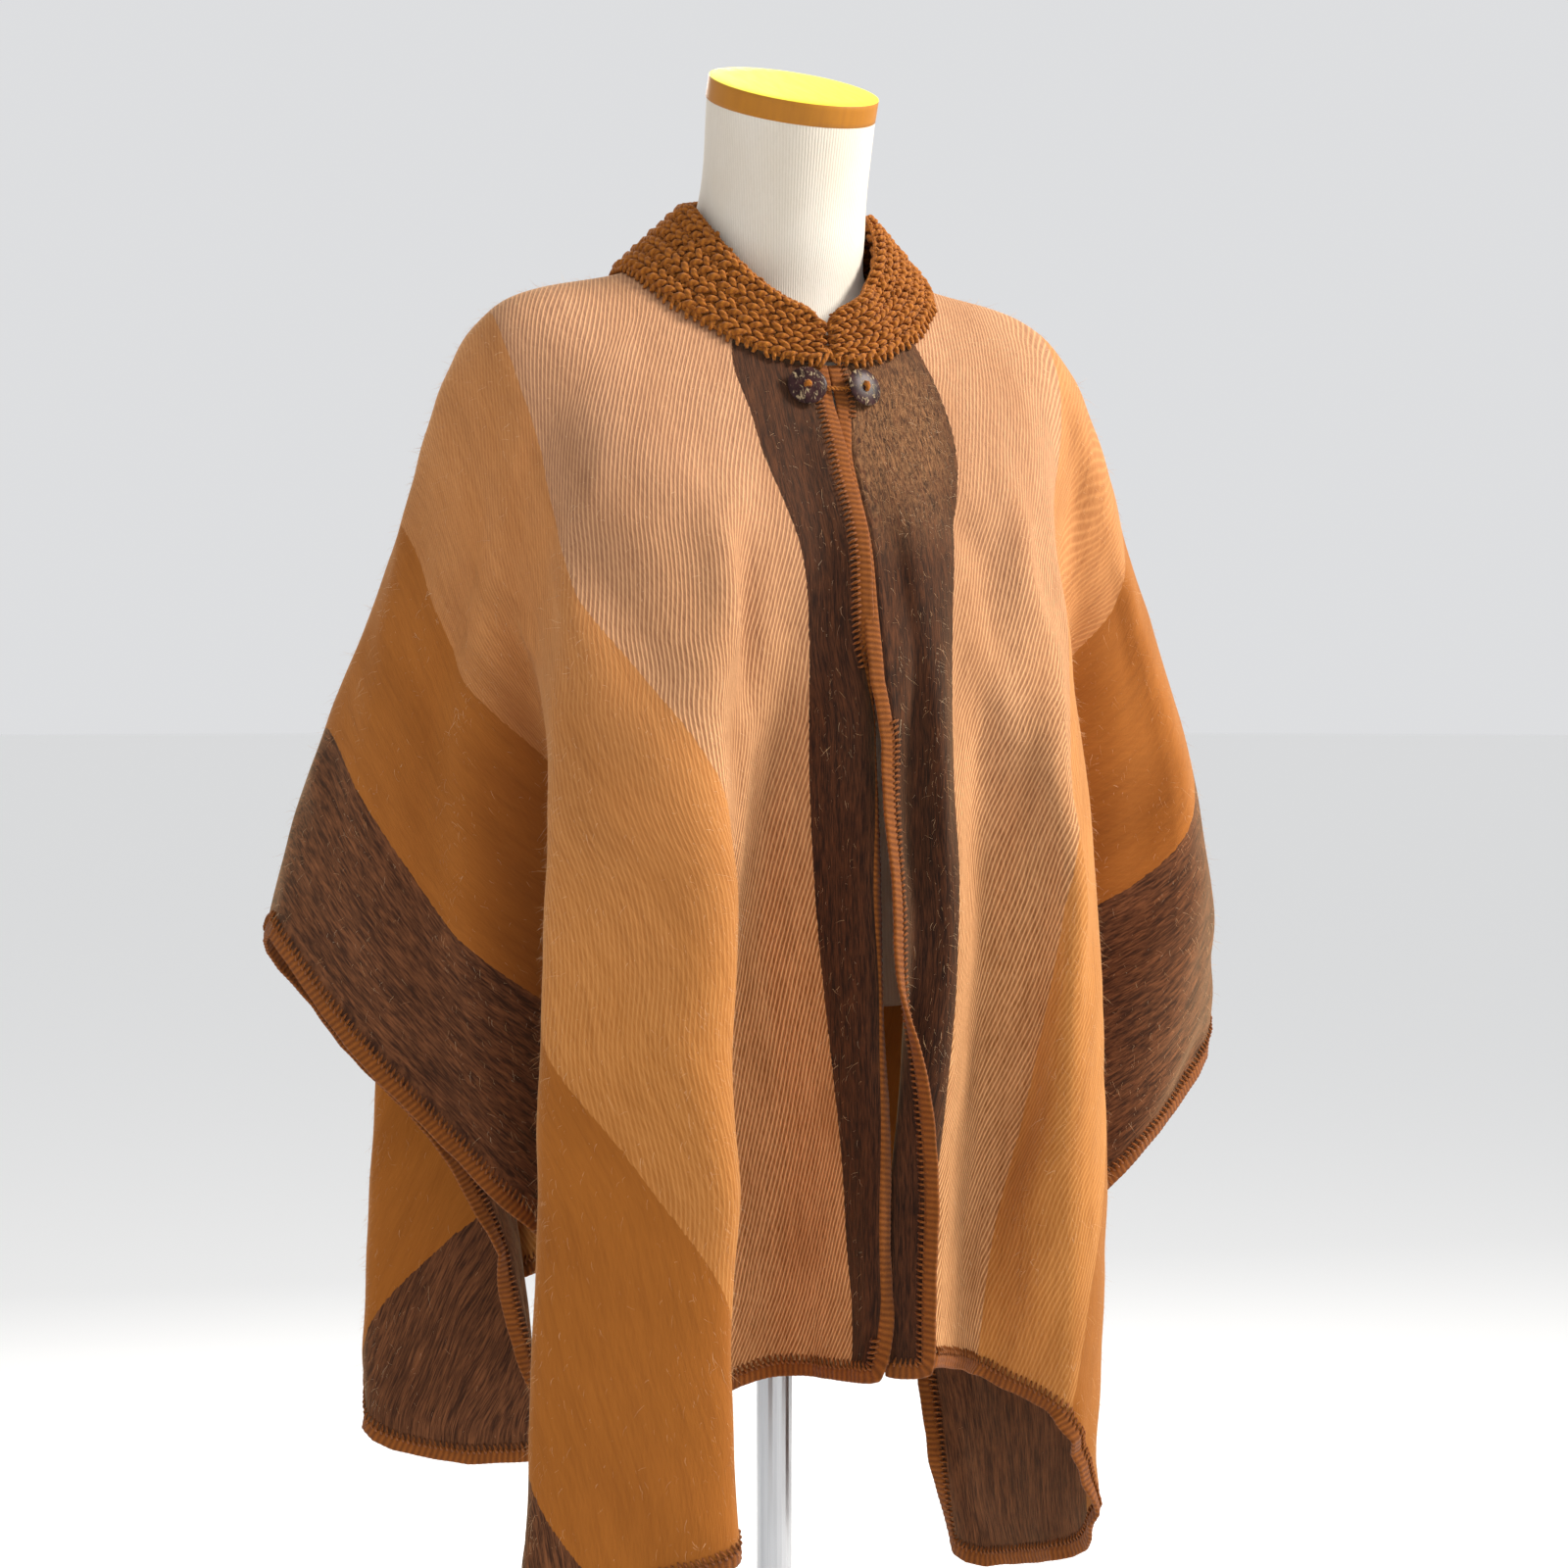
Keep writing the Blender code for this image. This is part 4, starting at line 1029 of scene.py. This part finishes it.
def collar_frame(turn, share):
    """Place, around, up and out directions, and the height of the band there."""
    low, high = neck_line(turn), collar_top(turn)
    up = unit(high - low)
    low = low + up * 0.0011
    from_end = min(turn, 360 - turn) - COLLAR_END_TURN
    rounding = COLLAR_END_ROUND * max(0.0, 1 - from_end / COLLAR_ROUND_TURN) ** 2
    low, high = low + up * rounding / 2, high - up * rounding
    around = unit(np.array((cos(radians(turn)), sin(radians(turn)), 0.0)))
    out = unit(np.cross(around, up))
    ease = 0.0035 * np.exp(-((turn - 26) / 7.0) ** 2) - 0.0025 * np.exp(-((turn - 40) / 9.0) ** 2)
    place = low + (high - low) * share + out * (COLLAR_LIFT + ease * share)
    return place, np.cross(up, out), up, out, np.linalg.norm(high - low)


def band_around(half_thick, margin, columns=150, rows=16):
    """The closed band behind the stitches."""
    turns = np.linspace(COLLAR_END_TURN + 0.8, 360 - COLLAR_END_TURN - 0.8, columns)
    shares = np.linspace(margin, 1 - margin, rows)
    outer, inner = [], []
    for turn in turns:
        for share in shares:
            place, _, _, out, _ = collar_frame(turn, share)
            outer.append(place + out * half_thick)
            inner.append(place - out * half_thick)
    faces = grid_faces(columns, rows)
    faces = [face[::-1] for face in faces]
    count = columns * rows
    back = [tuple(k + count for k in face[::-1]) for face in faces]
    rim_cells = ([(0, j) for j in range(rows)]
                 + [(i, rows - 1) for i in range(1, columns)]
                 + [(columns - 1, j) for j in range(rows - 2, -1, -1)]
                 + [(i, 0) for i in range(columns - 2, 0, -1)])
    ring = [i * rows + j for i, j in rim_cells]
    side = [(b, a, a + count, b + count) for a, b in zip(ring, ring[1:] + ring[:1])]
    everything = faces + back + side
    return Tube(outer + inner, everything, [(0.0, 0.0)] * sum(len(face) for face in everything))


print("collar is", round(collar_frame(30, 0)[4] * 1000), "mm tall near the front")

# %% The collar's stitch: a plump lobe over a thinner one
LOBE = ((-4.6, -3.4, -0.8), (-2.0, -1.9, 2.0), (1.6, 1.4, 2.7), (4.4, 3.6, -0.4))
LOBE_RADII = (1.1, 2.55, 2.65, 1.0)
UNDER = ((-3.6, 3.6, -0.2), (-1.9, 2.2, 1.2), (0.8, -2.2, 1.3), (2.4, -4.0, -0.4))
UNDER_RADII = (0.8, 1.55, 1.60, 0.8)


def collar_stitch(name, lean):
    tubes = []
    for path, radii, sides, count in ((LOBE, LOBE_RADII, 7, 6), (UNDER, UNDER_RADII, 6, 5)):
        fine, thick = refined(path, radii, count)
        mirror = (lean, 1, 1)
        if lean < 0:
            fine, thick = fine[::-1], thick[::-1]
        tubes.append(tube(scaled(fine, mirror), thick * MM, sides))
    return tubes_mesh(name, tubes, crochet_yarn)


def collar_places(per_row, side, lean_rows):
    """Places and directions of the stitches of every second row, on the outer or inner face."""
    places, outward, facing, sizes = [], [], [], []
    random = np.random.default_rng(17 + lean_rows)
    first, last = COLLAR_END_TURN, 360 - COLLAR_END_TURN
    start = 0.75 if lean_rows else 0.30
    for row in range(lean_rows, COLLAR_ROWS, 2):
        share = (row + 0.62) / (COLLAR_ROWS + 0.15)
        for k in range(per_row):
            turn = first + (last - first) * (k + start) / per_row
            turn = min(max(turn + random.uniform(-0.5, 0.5), first + 1.0), last - 1.0)
            place, around, up, out, tall = collar_frame(turn, share + random.uniform(-0.008, 0.008))
            after, _, _, _, _ = collar_frame(min(turn + 0.5, 358), share)
            before, _, _, _, _ = collar_frame(max(turn - 0.5, 2), share)
            wide = np.linalg.norm(after - before) * (last - first) / per_row / COLLAR_STITCH_WIDE
            places.append(place + out * side * 0.0008)
            outward.append(up)
            facing.append(out * side)
            long = tall / COLLAR_ROWS / COLLAR_STITCH_TALL
            sizes.append((max(wide, 0.6), long, min(1.0, 0.55 + 0.5 * wide)))
    return places, outward, facing, sizes


collar_part = None
for lean_rows, lean in ((0, 1), (1, -1)):
    stitch = collar_stitch("collar_stitch", lean)
    for side, count in ((1, COLLAR_STITCHES), (-1, COLLAR_STITCHES // 2)):
        places = collar_places(count, side, lean_rows)
        part = stitched("collar_crochet", *places, stitch.copy(), crochet_yarn, 0.16, 0.08,
                        23 + lean_rows + side)
        if collar_part is None:
            collar_part = part
        else:
            joined(collar_part, part.data.copy())
            bpy.data.objects.remove(part)
joined(collar_part, tubes_mesh("band", [band_around(0.0012, -0.02)], crochet_yarn))

# %% The chain along its edge and the row that sews it on
def twisted(path, normal, radius, apart, pitch, sides=5, step=0.0016):
    """Two plies wound round a path."""
    path, normal = np.asarray(path), np.asarray(normal)
    run = running(np.linalg.norm(np.diff(path, axis=0), axis=1))
    at = np.arange(0, run[-1], step)
    centre = np.array([np.interp(at, run, path[:, axis]) for axis in range(3)]).T
    up = unit(np.array([np.interp(at, run, normal[:, axis]) for axis in range(3)]).T)
    side = np.cross(unit(np.gradient(centre, axis=0)), up)
    plies = []
    for start in (0.0, pi):
        wind = (start + at * 2 * pi / pitch)[:, None]
        plies.append(tube(centre + apart * (up * np.cos(wind) + side * np.sin(wind)),
                          np.full(len(at), radius), sides))
    return plies


def collar_rim():
    """Places and out directions up one end, along the top and down the other end."""
    first, last = COLLAR_END_TURN + 0.4, 360 - COLLAR_END_TURN - 0.4
    cells = [(first, share) for share in np.linspace(0.02, 0.97, 20)]
    cells += [(turn, 0.995) for turn in np.linspace(first + 0.8, last - 0.8, 150)]
    cells += [(last, share) for share in np.linspace(0.97, 0.02, 20)]
    frames = [collar_frame(turn, share) for turn, share in cells]
    return np.array([frame[0] for frame in frames]), np.array([frame[3] for frame in frames])


rim_line, rim_outs = collar_rim()
rim_outs = unit(rim_outs)
trim = twisted(rim_line, rim_outs, 0.00125, 0.0010, 0.0085)

neck_run = np.linspace(0.5, 359.5, 114)
random = np.random.default_rng(29)
from_slit = cloth[:, 0]
for turn in neck_run:
    place, around, up, out, _ = collar_frame(turn, 0.0)
    column = int(np.argmin(np.linalg.norm(from_slit - neck_line(turn), axis=1)))
    foot = cloth[column, 2] + normals[column, 2] * 0.0022
    heel = place + (cloth[column, 1] + normals[column, 1] * 0.0030 - place) * random.uniform(0.45, 0.85)
    lean = around * random.uniform(-0.0026, 0.0026)
    long = random.uniform(-0.3, 0.3)
    foot = heel + (foot - heel) * long * min(1.0, 0.0026 / max(np.linalg.norm(foot - heel), 1e-6))
    path = [place + up * 0.0040 + out * 0.0006 - lean, place + up * 0.0026 + out * 0.0024,
            place - up * 0.0004 + out * 0.0026, heel + out * 0.0002 + lean * 0.5, foot + lean]
    plump = np.array((0.0010, 0.0017, 0.0018, 0.0014, 0.0009)) * random.uniform(0.8, 1.15)
    fine, radii = refined(np.array(path), plump, 6)
    trim.append(tube(fine, radii, 5))
joined(collar_part, tubes_mesh("collar_trim", trim, crochet_yarn))
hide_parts("collar")
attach(collar_part, "root")
print("collar triangles:", sum(len(face.vertices) - 2 for face in collar_part.data.polygons))

# %% [markdown]
# ## Coconut buttons
# Two slices of polished coconut shell. Such a button is never quite round or
# even, and its face shows pale fibres and flecks in dark purple brown. The yarn
# comes up through its holes and is knotted on the face. A short twisted yarn
# joins the two behind.

# %% Coconut shell finish
def coconut_finish():
    made, tree, shader = new_material("coconut_shell", 0.42, Specular_IOR_Level=0.10)
    where = coordinates(tree)
    warped = noise(tree, where, (120, 120, 120), 2.0)
    streaks = noise(tree, where, (420, 150, 190), 3.0, 0.6, 1.2, turn=0.5)
    flecks = tree.nodes.new("ShaderNodeTexVoronoi")
    flecks.inputs["Scale"].default_value = 1.0
    tree.links.new(stretched(tree, where, (650, 330, 420), 0.6), flecks.inputs["Vector"])
    spots = math_node(tree, "LESS_THAN", flecks.outputs["Distance"],
                      math_node(tree, "MULTIPLY_ADD", warped, 0.50, -0.20))
    lines = ramp(tree, streaks, ((0.56, 0.0), (0.63, 0.45), (0.68, 0.95), (0.73, 0.2)))
    body = ramp(tree, warped, ((0.30, linear(32, 17, 16)), (0.52, linear(52, 30, 30)),
                               (0.75, linear(70, 44, 44))))
    pale = mix_colour(tree, warped, linear(128, 100, 76), linear(214, 194, 150))
    share = math_node(tree, "MAXIMUM", math_node(tree, "MULTIPLY", spots, 0.55), lines)
    tree.links.new(mix_colour(tree, share, body, pale), shader.inputs["Base Color"])
    tree.links.new(ramp(tree, share, ((0.0, 0.36), (1.0, 0.55))), shader.inputs["Roughness"])
    tree.links.new(bump(tree, share, 0.0003, 0.35), shader.inputs["Normal"])
    return made


coconut_shell = coconut_finish()

# %% Two uneven turned discs with a knot on each
BUTTON_RADIUS = 0.0135
BUTTON_THICK = 0.0042
BUTTON_OUT, BUTTON_Z, BUTTON_STAND_OFF = 0.0177, 1.3225, 0.0078
BUTTON_TIP, BUTTON_TURN = radians(18.0), radians(14.0)
BUTTON_PROFILE = ((0.00, -0.50), (0.45, -0.52), (0.86, -0.38), (0.97, -0.20), (1.00, 0.00), (0.985, 0.16),
                  (0.94, 0.33), (0.86, 0.52), (0.72, 0.74), (0.52, 0.90), (0.28, 0.98), (0.00, 1.00))


def cloth_front(out, z):
    turn = degrees(asin(abs(out) / NECK_HALF_WIDTH))
    low, high = shoulder_line(turn), neck_line(turn)
    place = low + (high - low) * (z - low[2]) / (high[2] - low[2])
    return place * (np.sign(out), 1, 1)


def button_matrix(side):
    """Rotation and place of a button: across, up its face, and out of its face."""
    tip, turn = pi / 2 - BUTTON_TIP, BUTTON_TURN * side
    about_x = np.array(((1, 0, 0), (0, cos(tip), -sin(tip)), (0, sin(tip), cos(tip))))
    about_z = np.array(((cos(turn), -sin(turn), 0), (sin(turn), cos(turn), 0), (0, 0, 1)))
    return about_z @ about_x, cloth_front(BUTTON_OUT * side, BUTTON_Z) - np.array((0, BUTTON_STAND_OFF, 0))


def turned_disc(profile, sides, uneven):
    """Points and faces of a turned form closed at both poles, a little out of round."""
    points, faces = [(0.0, 0.0, profile[0][1])], []
    for radius, z in profile[1:-1]:
        for k in range(sides):
            a = 2 * pi * k / sides
            r = radius * (1 + uneven * (0.5 * sin(2 * a + 0.6) + 0.3 * sin(3 * a + 2.0) + 0.2 * sin(7 * a)))
            thicker = 1 + 4 * uneven * sin(a + 1.0) * radius / BUTTON_RADIUS
            points.append((r * cos(a), r * sin(a), z * thicker))
    points.append((0.0, 0.0, profile[-1][1]))
    rings = len(profile) - 2
    for k in range(sides):
        nxt = (k + 1) % sides
        faces.append((0, 1 + nxt, 1 + k))
        for j in range(rings - 1):
            a, b = 1 + j * sides + k, 1 + j * sides + nxt
            faces.append((a, b, b + sides, a + sides))
        top = 1 + (rings - 1) * sides
        faces.append((top + k, top + nxt, len(points) - 1))
    return np.array(points), faces


KNOTS = {
    "right": (((-2.0, -1.6, 1.6), (-0.6, 0.4, 3.6), (1.8, 1.8, 1.8)),
              ((-1.6, 1.9, 1.7), (0.5, 0.5, 3.9), (1.9, -1.5, 1.8)),
              ((-2.3, 0.4, 1.6), (0.0, -0.7, 3.4), (2.3, -0.2, 1.6))),
    "left": (((-0.9, -3.6, 1.5), (0.2, -0.4, 3.7), (1.0, 3.3, 1.8)),
             ((0.9, -3.0, 1.6), (-0.5, 0.6, 3.6), (-0.2, 3.4, 1.7)),
             ((-1.6, 1.1, 1.6), (0.1, 1.6, 3.5), (1.7, 0.6, 1.6))),
}
for side, name in ((-1, "right"), (1, "left")):
    turn_to, place = button_matrix(side)
    profile = [(BUTTON_RADIUS * across, BUTTON_THICK / 2 * up) for across, up in BUTTON_PROFILE]
    points, faces = turned_disc(profile, 72, 0.018)
    disc = new_piece("coconut_button_" + name, points @ turn_to.T + place, faces, coconut_shell)
    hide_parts("button_" + name)
    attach(disc, "root")
    strands = []
    for path in KNOTS[name]:
        fine, radii = refined(scaled(path), np.array((0.95, 1.75, 0.95)) * MM, 8)
        strands.append(tube(fine @ turn_to.T + place, radii, 8))
    knot_mesh = tubes_mesh("yarn_knot_" + name, strands, crochet_yarn)
    knot = link(bpy.data.objects.new("yarn_knot_" + name, knot_mesh))
    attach(knot, "root")

# %% The yarn between them
ends = [button_matrix(side)[1] + np.array((0, 0.0031, 0)) for side in (-1, 1)]
sag = (ends[0] + ends[1]) / 2 - np.array((0, 0.0010, 0.0015))
line = spline((0, 1, 2), (ends[0], sag, ends[1]), np.linspace(0, 2, 40))
plies = twisted(line, np.tile((0.0, 0.0, 1.0), (40, 1)), 0.0009, 0.00075, 0.0060, 6, 0.0007)
link_piece = link(bpy.data.objects.new("link_yarn", tubes_mesh("link_yarn", plies, crochet_yarn)))
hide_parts("yarn_link")
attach(link_piece, "root")
print("buttons at", [[round(float(value), 3) for value in button_matrix(side)[1]] for side in (-1, 1)])

# %% [markdown]
# ## The nap's loose hairs
# The cloth is brushed, so long soft hairs stand off it, most of all along the
# ridges of the folds, at the slit and near the collar, where light catches
# them. Each is a thin tapered hair, set by the same tree as the stitches.

# %% Where the hairs stand
def hair_weights():
    """How likely a hair is at each grid point: more on ridges and near the slit and neck."""
    bend = np.zeros(cloth.shape[:2])
    around = (cloth[:-2] + cloth[2:]) / 2 - cloth[1:-1]
    bend[1:-1] = -np.sum(around * normals[1:-1], axis=-1)
    wide = np.linalg.norm(cloth[2:] - cloth[:-2], axis=-1) / 2
    bend[1:-1] /= np.maximum(wide, 1e-4) ** 2
    ridge = np.clip(bend / 18.0, 0, 1)
    area = np.zeros(cloth.shape[:2])
    area[1:-1] = wide
    drop = np.linalg.norm(np.gradient(cloth, axis=1), axis=-1)
    near_slit = np.exp(-np.abs(flat[..., 0]) / 0.05) * (flat[..., 1] > 0.08)
    near_neck = np.exp(-(HALF_LENGTH - flat[..., 1] - 0.60) ** 2 / 0.02) * (np.abs(flat[..., 0]) < 0.16)
    tufted = np.exp(-((flat[..., 0] - 0.045) / 0.03) ** 2 - ((flat[..., 1] - 0.14) / 0.06) ** 2)
    return area * drop * (0.16 + 2.6 * ridge + 0.5 * near_slit + 0.5 * near_neck + 7.0 * tufted)


HAIR = ((0.0, 0.0, 0.0), (0.5, 3.2, 1.3), (-0.4, 6.6, 1.9))
HAIR_RADII = (0.080, 0.065, 0.012)
HAIRS_EACH_SIDE = 9500


def hair_finish():
    made, tree, shader = new_material("cloth_hair", 0.55, Sheen_Weight=0.3, Specular_IOR_Level=0.5)
    where = coordinates(tree)
    share = noise(tree, where, (60, 60, 60), 3.0)
    tree.links.new(ramp(tree, share, ((0.30, linear(170, 112, 60)), (0.50, linear(222, 170, 112)),
                                      (0.70, linear(250, 220, 176)))), shader.inputs["Base Color"])
    return made


cloth_hair = hair_finish()
weights = hair_weights()
down = unit(np.gradient(cloth, axis=1))
hair_mesh = tubes_mesh("hair", [tube(scaled(HAIR), np.array(HAIR_RADII) * MM, 3, capped=False)], cloth_hair)
for name, low, high, seed in (("loose_hairs_right", 0, centre_back, 41),
                              ("loose_hairs_left", centre_back, columns, 43)):
    random = np.random.default_rng(seed)
    share = weights[low:high, 3:-1].ravel()
    chosen = random.choice(len(share), HAIRS_EACH_SIDE, p=share / share.sum())
    i, j = np.unravel_index(chosen, weights[low:high, 3:-1].shape)
    i, j = np.minimum(i + low, columns - 2), j + 3
    s, t = random.uniform(size=(2, HAIRS_EACH_SIDE, 1))
    upper = cloth[i, j] * (1 - s) + cloth[i + 1, j] * s
    lower = cloth[i, j + 1] * (1 - s) + cloth[i + 1, j + 1] * s
    place = upper * (1 - t) + lower * t
    face = normals[i, j]
    astray = random.normal(0, 0.45, (HAIRS_EACH_SIDE, 3))
    lay = unit(down[i, j] + astray + face * random.uniform(0.0, 0.9, (HAIRS_EACH_SIDE, 1)))
    facing = unit(face + random.normal(0, 0.5, (HAIRS_EACH_SIDE, 3)))
    sizes = np.ones((HAIRS_EACH_SIDE, 3)) * random.uniform(0.5, 1.0, (HAIRS_EACH_SIDE, 1))
    sizes[:, 1] *= random.gamma(4.0, 0.22, HAIRS_EACH_SIDE)
    piece = stitched(name, place + face * (CLOTH / 2), lay, facing, sizes, hair_mesh.copy(), cloth_hair,
                     0.30, 0.2, seed)
    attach(piece, "root")

# %% [markdown]
# ## The dress form
# A limbless form, padded and covered with fine ribbed jersey, with a short neck
# that leans forward. Its body is lofted in one smooth skin from the same
# sections as the solid: its shoulders follow the cloth a little below it.

# %% Loft the covered form
Section = namedtuple("Section", "z half_width front back")
FORM_SECTIONS = (
    Section(1.225, 0.176, 0.124, 0.110),
    Section(1.170, 0.164, 0.134, 0.112),
    Section(1.090, 0.144, 0.112, 0.100),
    Section(1.020, 0.130, 0.092, 0.084),
    Section(0.955, 0.131, 0.090, 0.084),
    Section(0.900, 0.136, 0.093, 0.090),
)
SHOULDER_ROWS = ((0, 0.0015), (1, 0.0026), (2, 0.0018), (3, 0.0040))
NECK_RINGS = ((-0.002, 1.410, 0.066, 28.0), (-0.012, 1.448, 0.059, 18.0), (-0.028, 1.522, 0.059, 21.0))
FORM_STEPS = 90
FORM_RIBS = 230.0


def form_skin():
    """Columns of points from the form's bottom edge up to the top of its neck."""
    coarse, _, _ = hung_cloth(COLUMNS_PER_FOLD, 21)
    facing = grid_normals(coarse)
    right = -fold_rows(RIGHT_FOLDS, COLUMNS_PER_FOLD)[:, 2]
    left = fold_rows(LEFT_FOLDS, COLUMNS_PER_FOLD)[:, 2]
    turns = np.radians(np.concatenate((right, left[-2::-1])))
    skin = []
    for k in range(0, len(turns), 3):
        fore, out = cos(turns[k]), sin(turns[k])
        points = []
        for section in FORM_SECTIONS[::-1]:
            depth = section.front if fore > 0 else section.back
            size = (abs(fore)**2.4 + abs(out)**2.4) ** (-1 / 2.4)
            points.append((section.half_width * out * size, -depth * fore * size, section.z))
        for row, inward in SHOULDER_ROWS[::-1]:
            points.append(coarse[k, row] - facing[k, row] * (0.00125 + inward))
        for y, z, radius, tilt in NECK_RINGS:
            slope = radians(tilt)
            points.append((radius * out, y - radius * fore * cos(slope), z - radius * fore * sin(slope)))
        points = np.array(points)
        knots = running(np.linalg.norm(np.diff(points, axis=0), axis=1))
        skin.append(spline(knots, points, np.linspace(0, knots[-1], FORM_STEPS)))
    skin = np.array(skin)
    # The breastbone lies a little deeper, clear of the crocheted bands.
    out, z = skin[..., 0], skin[..., 2]
    skin[..., 1] += 0.0030 * np.exp(-(out / 0.045) ** 2 - ((z - 1.25) / 0.09) ** 2) * (skin[..., 1] < 0)
    return skin


def jersey_finish():
    """Fine ribs down the jersey, a soft nap and a little handling wear."""
    made, tree, shader = new_material("form_jersey", 0.86, Sheen_Weight=0.18, Specular_IOR_Level=0.2)
    where = coordinates(tree)
    parts = add_node(tree, "ShaderNodeSeparateXYZ", Vector=where)
    forward = math_node(tree, "MULTIPLY", parts.outputs["Y"], -1.0)
    around = math_node(tree, "ARCTAN2", parts.outputs["X"], forward)
    ribs = swing(tree, math_node(tree, "MULTIPLY", around, FORM_RIBS))
    slubs = noise(tree, where, (900, 900, 160), 3.0, 0.6)
    soiled = noise(tree, where, (14, 14, 9), 3.0)
    share = math_node(tree, "MULTIPLY_ADD", slubs, 0.45, 0.10)
    share = math_node(tree, "MULTIPLY_ADD", ribs, 0.30, share, clamp=True)
    body = mix_colour(tree, share, linear(208, 199, 186), linear(230, 224, 213))
    worn = ramp(tree, soiled, ((0.35, (0.93, 0.90, 0.85, 1.0)), (0.65, (1.0, 1.0, 1.0, 1.0))))
    tree.links.new(mix_colour(tree, 1.0, body, worn, "MULTIPLY"), shader.inputs["Base Color"])
    relief = math_node(tree, "MULTIPLY_ADD", ribs, 0.6, slubs)
    tree.links.new(bump(tree, relief, 0.0004, 0.6), shader.inputs["Normal"])
    return made


form_jersey = jersey_finish()
skin = form_skin()
around_count, up_count = skin.shape[:2]
points = [tuple(point) for point in skin.reshape(-1, 3)]
faces = [face[::-1] for face in grid_faces(around_count, up_count, closed=True)]
low_ring = [i * up_count for i in range(around_count)]
high_ring = [i * up_count + up_count - 1 for i in range(around_count)]
points += [(0.0, 0.0, 0.900), tuple(skin[:, -1].mean(axis=0))]
faces += [(a, b, len(points) - 2) for a, b in zip(low_ring, low_ring[1:] + low_ring[:1])]
faces += [(b, a, len(points) - 1) for a, b in zip(high_ring, high_ring[1:] + high_ring[:1])]
form = new_piece("form_cover", points, faces, form_jersey)
form.data.set_sharp_from_angle(angle=radians(50))
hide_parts("form_torso")
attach(form, "root")
print("form quads:", len(form.data.polygons))

# %% [markdown]
# ## The painted neck cap and the stand
# The cap is a turned wooden disc with softened edges, painted yellow on top and
# coloured a darker ochre round its side, with small scuffs where things have been
# set on it. The pole and the base are plain satin steel.

# %% The cap
CAP_RADIUS, CAP_THICK = 0.0590, 0.0125
NECK_TOP_Y, NECK_TOP_Z, NECK_TILT = -0.028, 1.522, radians(21.0)
CAP_SKIRT = 0.0035
CAP_PROFILE = ((0.0, -1.0), (0.60, -1.0), (0.97, -1.0), (0.992, -0.97), (1.0, -0.90), (1.0, -0.40),
               (1.0, 0.30), (1.0, 0.93), (0.996, 0.97), (0.986, 1.0), (0.80, 1.005), (0.45, 1.012),
               (0.0, 1.015))


def cap_finish():
    made, tree, shader = new_material("painted_cap", 0.50, Coat_Weight=0.08, Coat_Roughness=0.35,
                                      Specular_IOR_Level=0.3)
    place = coordinates(tree, "UV")
    where = coordinates(tree)
    on_top = add_node(tree, "ShaderNodeSeparateXYZ", Vector=place).outputs["Y"]
    ragged = noise(tree, where, (260, 260, 260), 3.0)
    edge = math_node(tree, "MULTIPLY_ADD", ragged, 0.02, on_top)
    side_or_top = ramp(tree, edge, ((0.975, 0.0), (0.985, 1.0)))
    brushed = noise(tree, where, (300, 40, 40), 3.0)
    yellow = mix_colour(tree, brushed, linear(232, 206, 40), linear(250, 230, 66))
    ochre = mix_colour(tree, brushed, linear(158, 98, 12), linear(184, 120, 22))
    body = mix_colour(tree, side_or_top, ochre, yellow)
    scuffs = ramp(tree, noise(tree, where, (170, 520, 170), 4.0, 0.7, turn=0.4),
                  ((0.66, 0.0), (0.70, 1.0)))
    tree.links.new(mix_colour(tree, math_node(tree, "MULTIPLY", scuffs, 0.55), body, linear(150, 92, 26)),
                   shader.inputs["Base Color"])
    tree.links.new(ramp(tree, brushed, ((0.3, 0.44), (0.7, 0.58))), shader.inputs["Roughness"])
    tree.links.new(bump(tree, brushed, 0.0002, 0.3), shader.inputs["Normal"])
    return made


painted_cap = cap_finish()
profile = [((CAP_RADIUS + 0.0005) * across, CAP_THICK / 2 * up - (CAP_SKIRT if up < 0 else 0.0))
           for across, up in CAP_PROFILE]
points, faces = turned_disc(profile, 128, 0.0)
lift = 0.0003 + CAP_THICK / 2
tilted = np.array(((1, 0, 0), (0, cos(NECK_TILT), -sin(NECK_TILT)), (0, sin(NECK_TILT), cos(NECK_TILT))))
place = np.array((0, NECK_TOP_Y - lift * sin(NECK_TILT), NECK_TOP_Z + lift * cos(NECK_TILT)))
cap = new_piece("neck_cap_painted", points @ tilted.T + place, faces, painted_cap)
set_uv(cap.data, "side_and_top", np.column_stack((points[:, 0], points[:, 2] / CAP_THICK + 0.5)))
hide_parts("neck_cap")
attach(cap, "root")

# %% Pole and base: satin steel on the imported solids
def steel_finish():
    made, tree, shader = new_material("stand_steel", 0.33, Metallic=1.0)
    where = coordinates(tree)
    drawn = noise(tree, where, (900, 900, 14), 3.0, 0.6)
    smudged = noise(tree, where, (22, 22, 22), 3.0)
    steel = mix_colour(tree, drawn, linear(176, 177, 180), linear(206, 207, 210))
    tree.links.new(steel, shader.inputs["Base Color"])
    dull = math_node(tree, "MULTIPLY_ADD", smudged, 0.6, math_node(tree, "MULTIPLY", drawn, 0.4))
    tree.links.new(ramp(tree, dull, ((0.3, 0.24), (0.7, 0.42))), shader.inputs["Roughness"])
    tree.links.new(bump(tree, drawn, 0.0001, 0.3), shader.inputs["Normal"])
    return made


stand_steel = steel_finish()
for name in ("stand_pole", "stand_base"):
    node = frame["nodes"][name]
    for slot_of_node in node.material_slots:
        slot_of_node.material = stand_steel
print("stand finished")
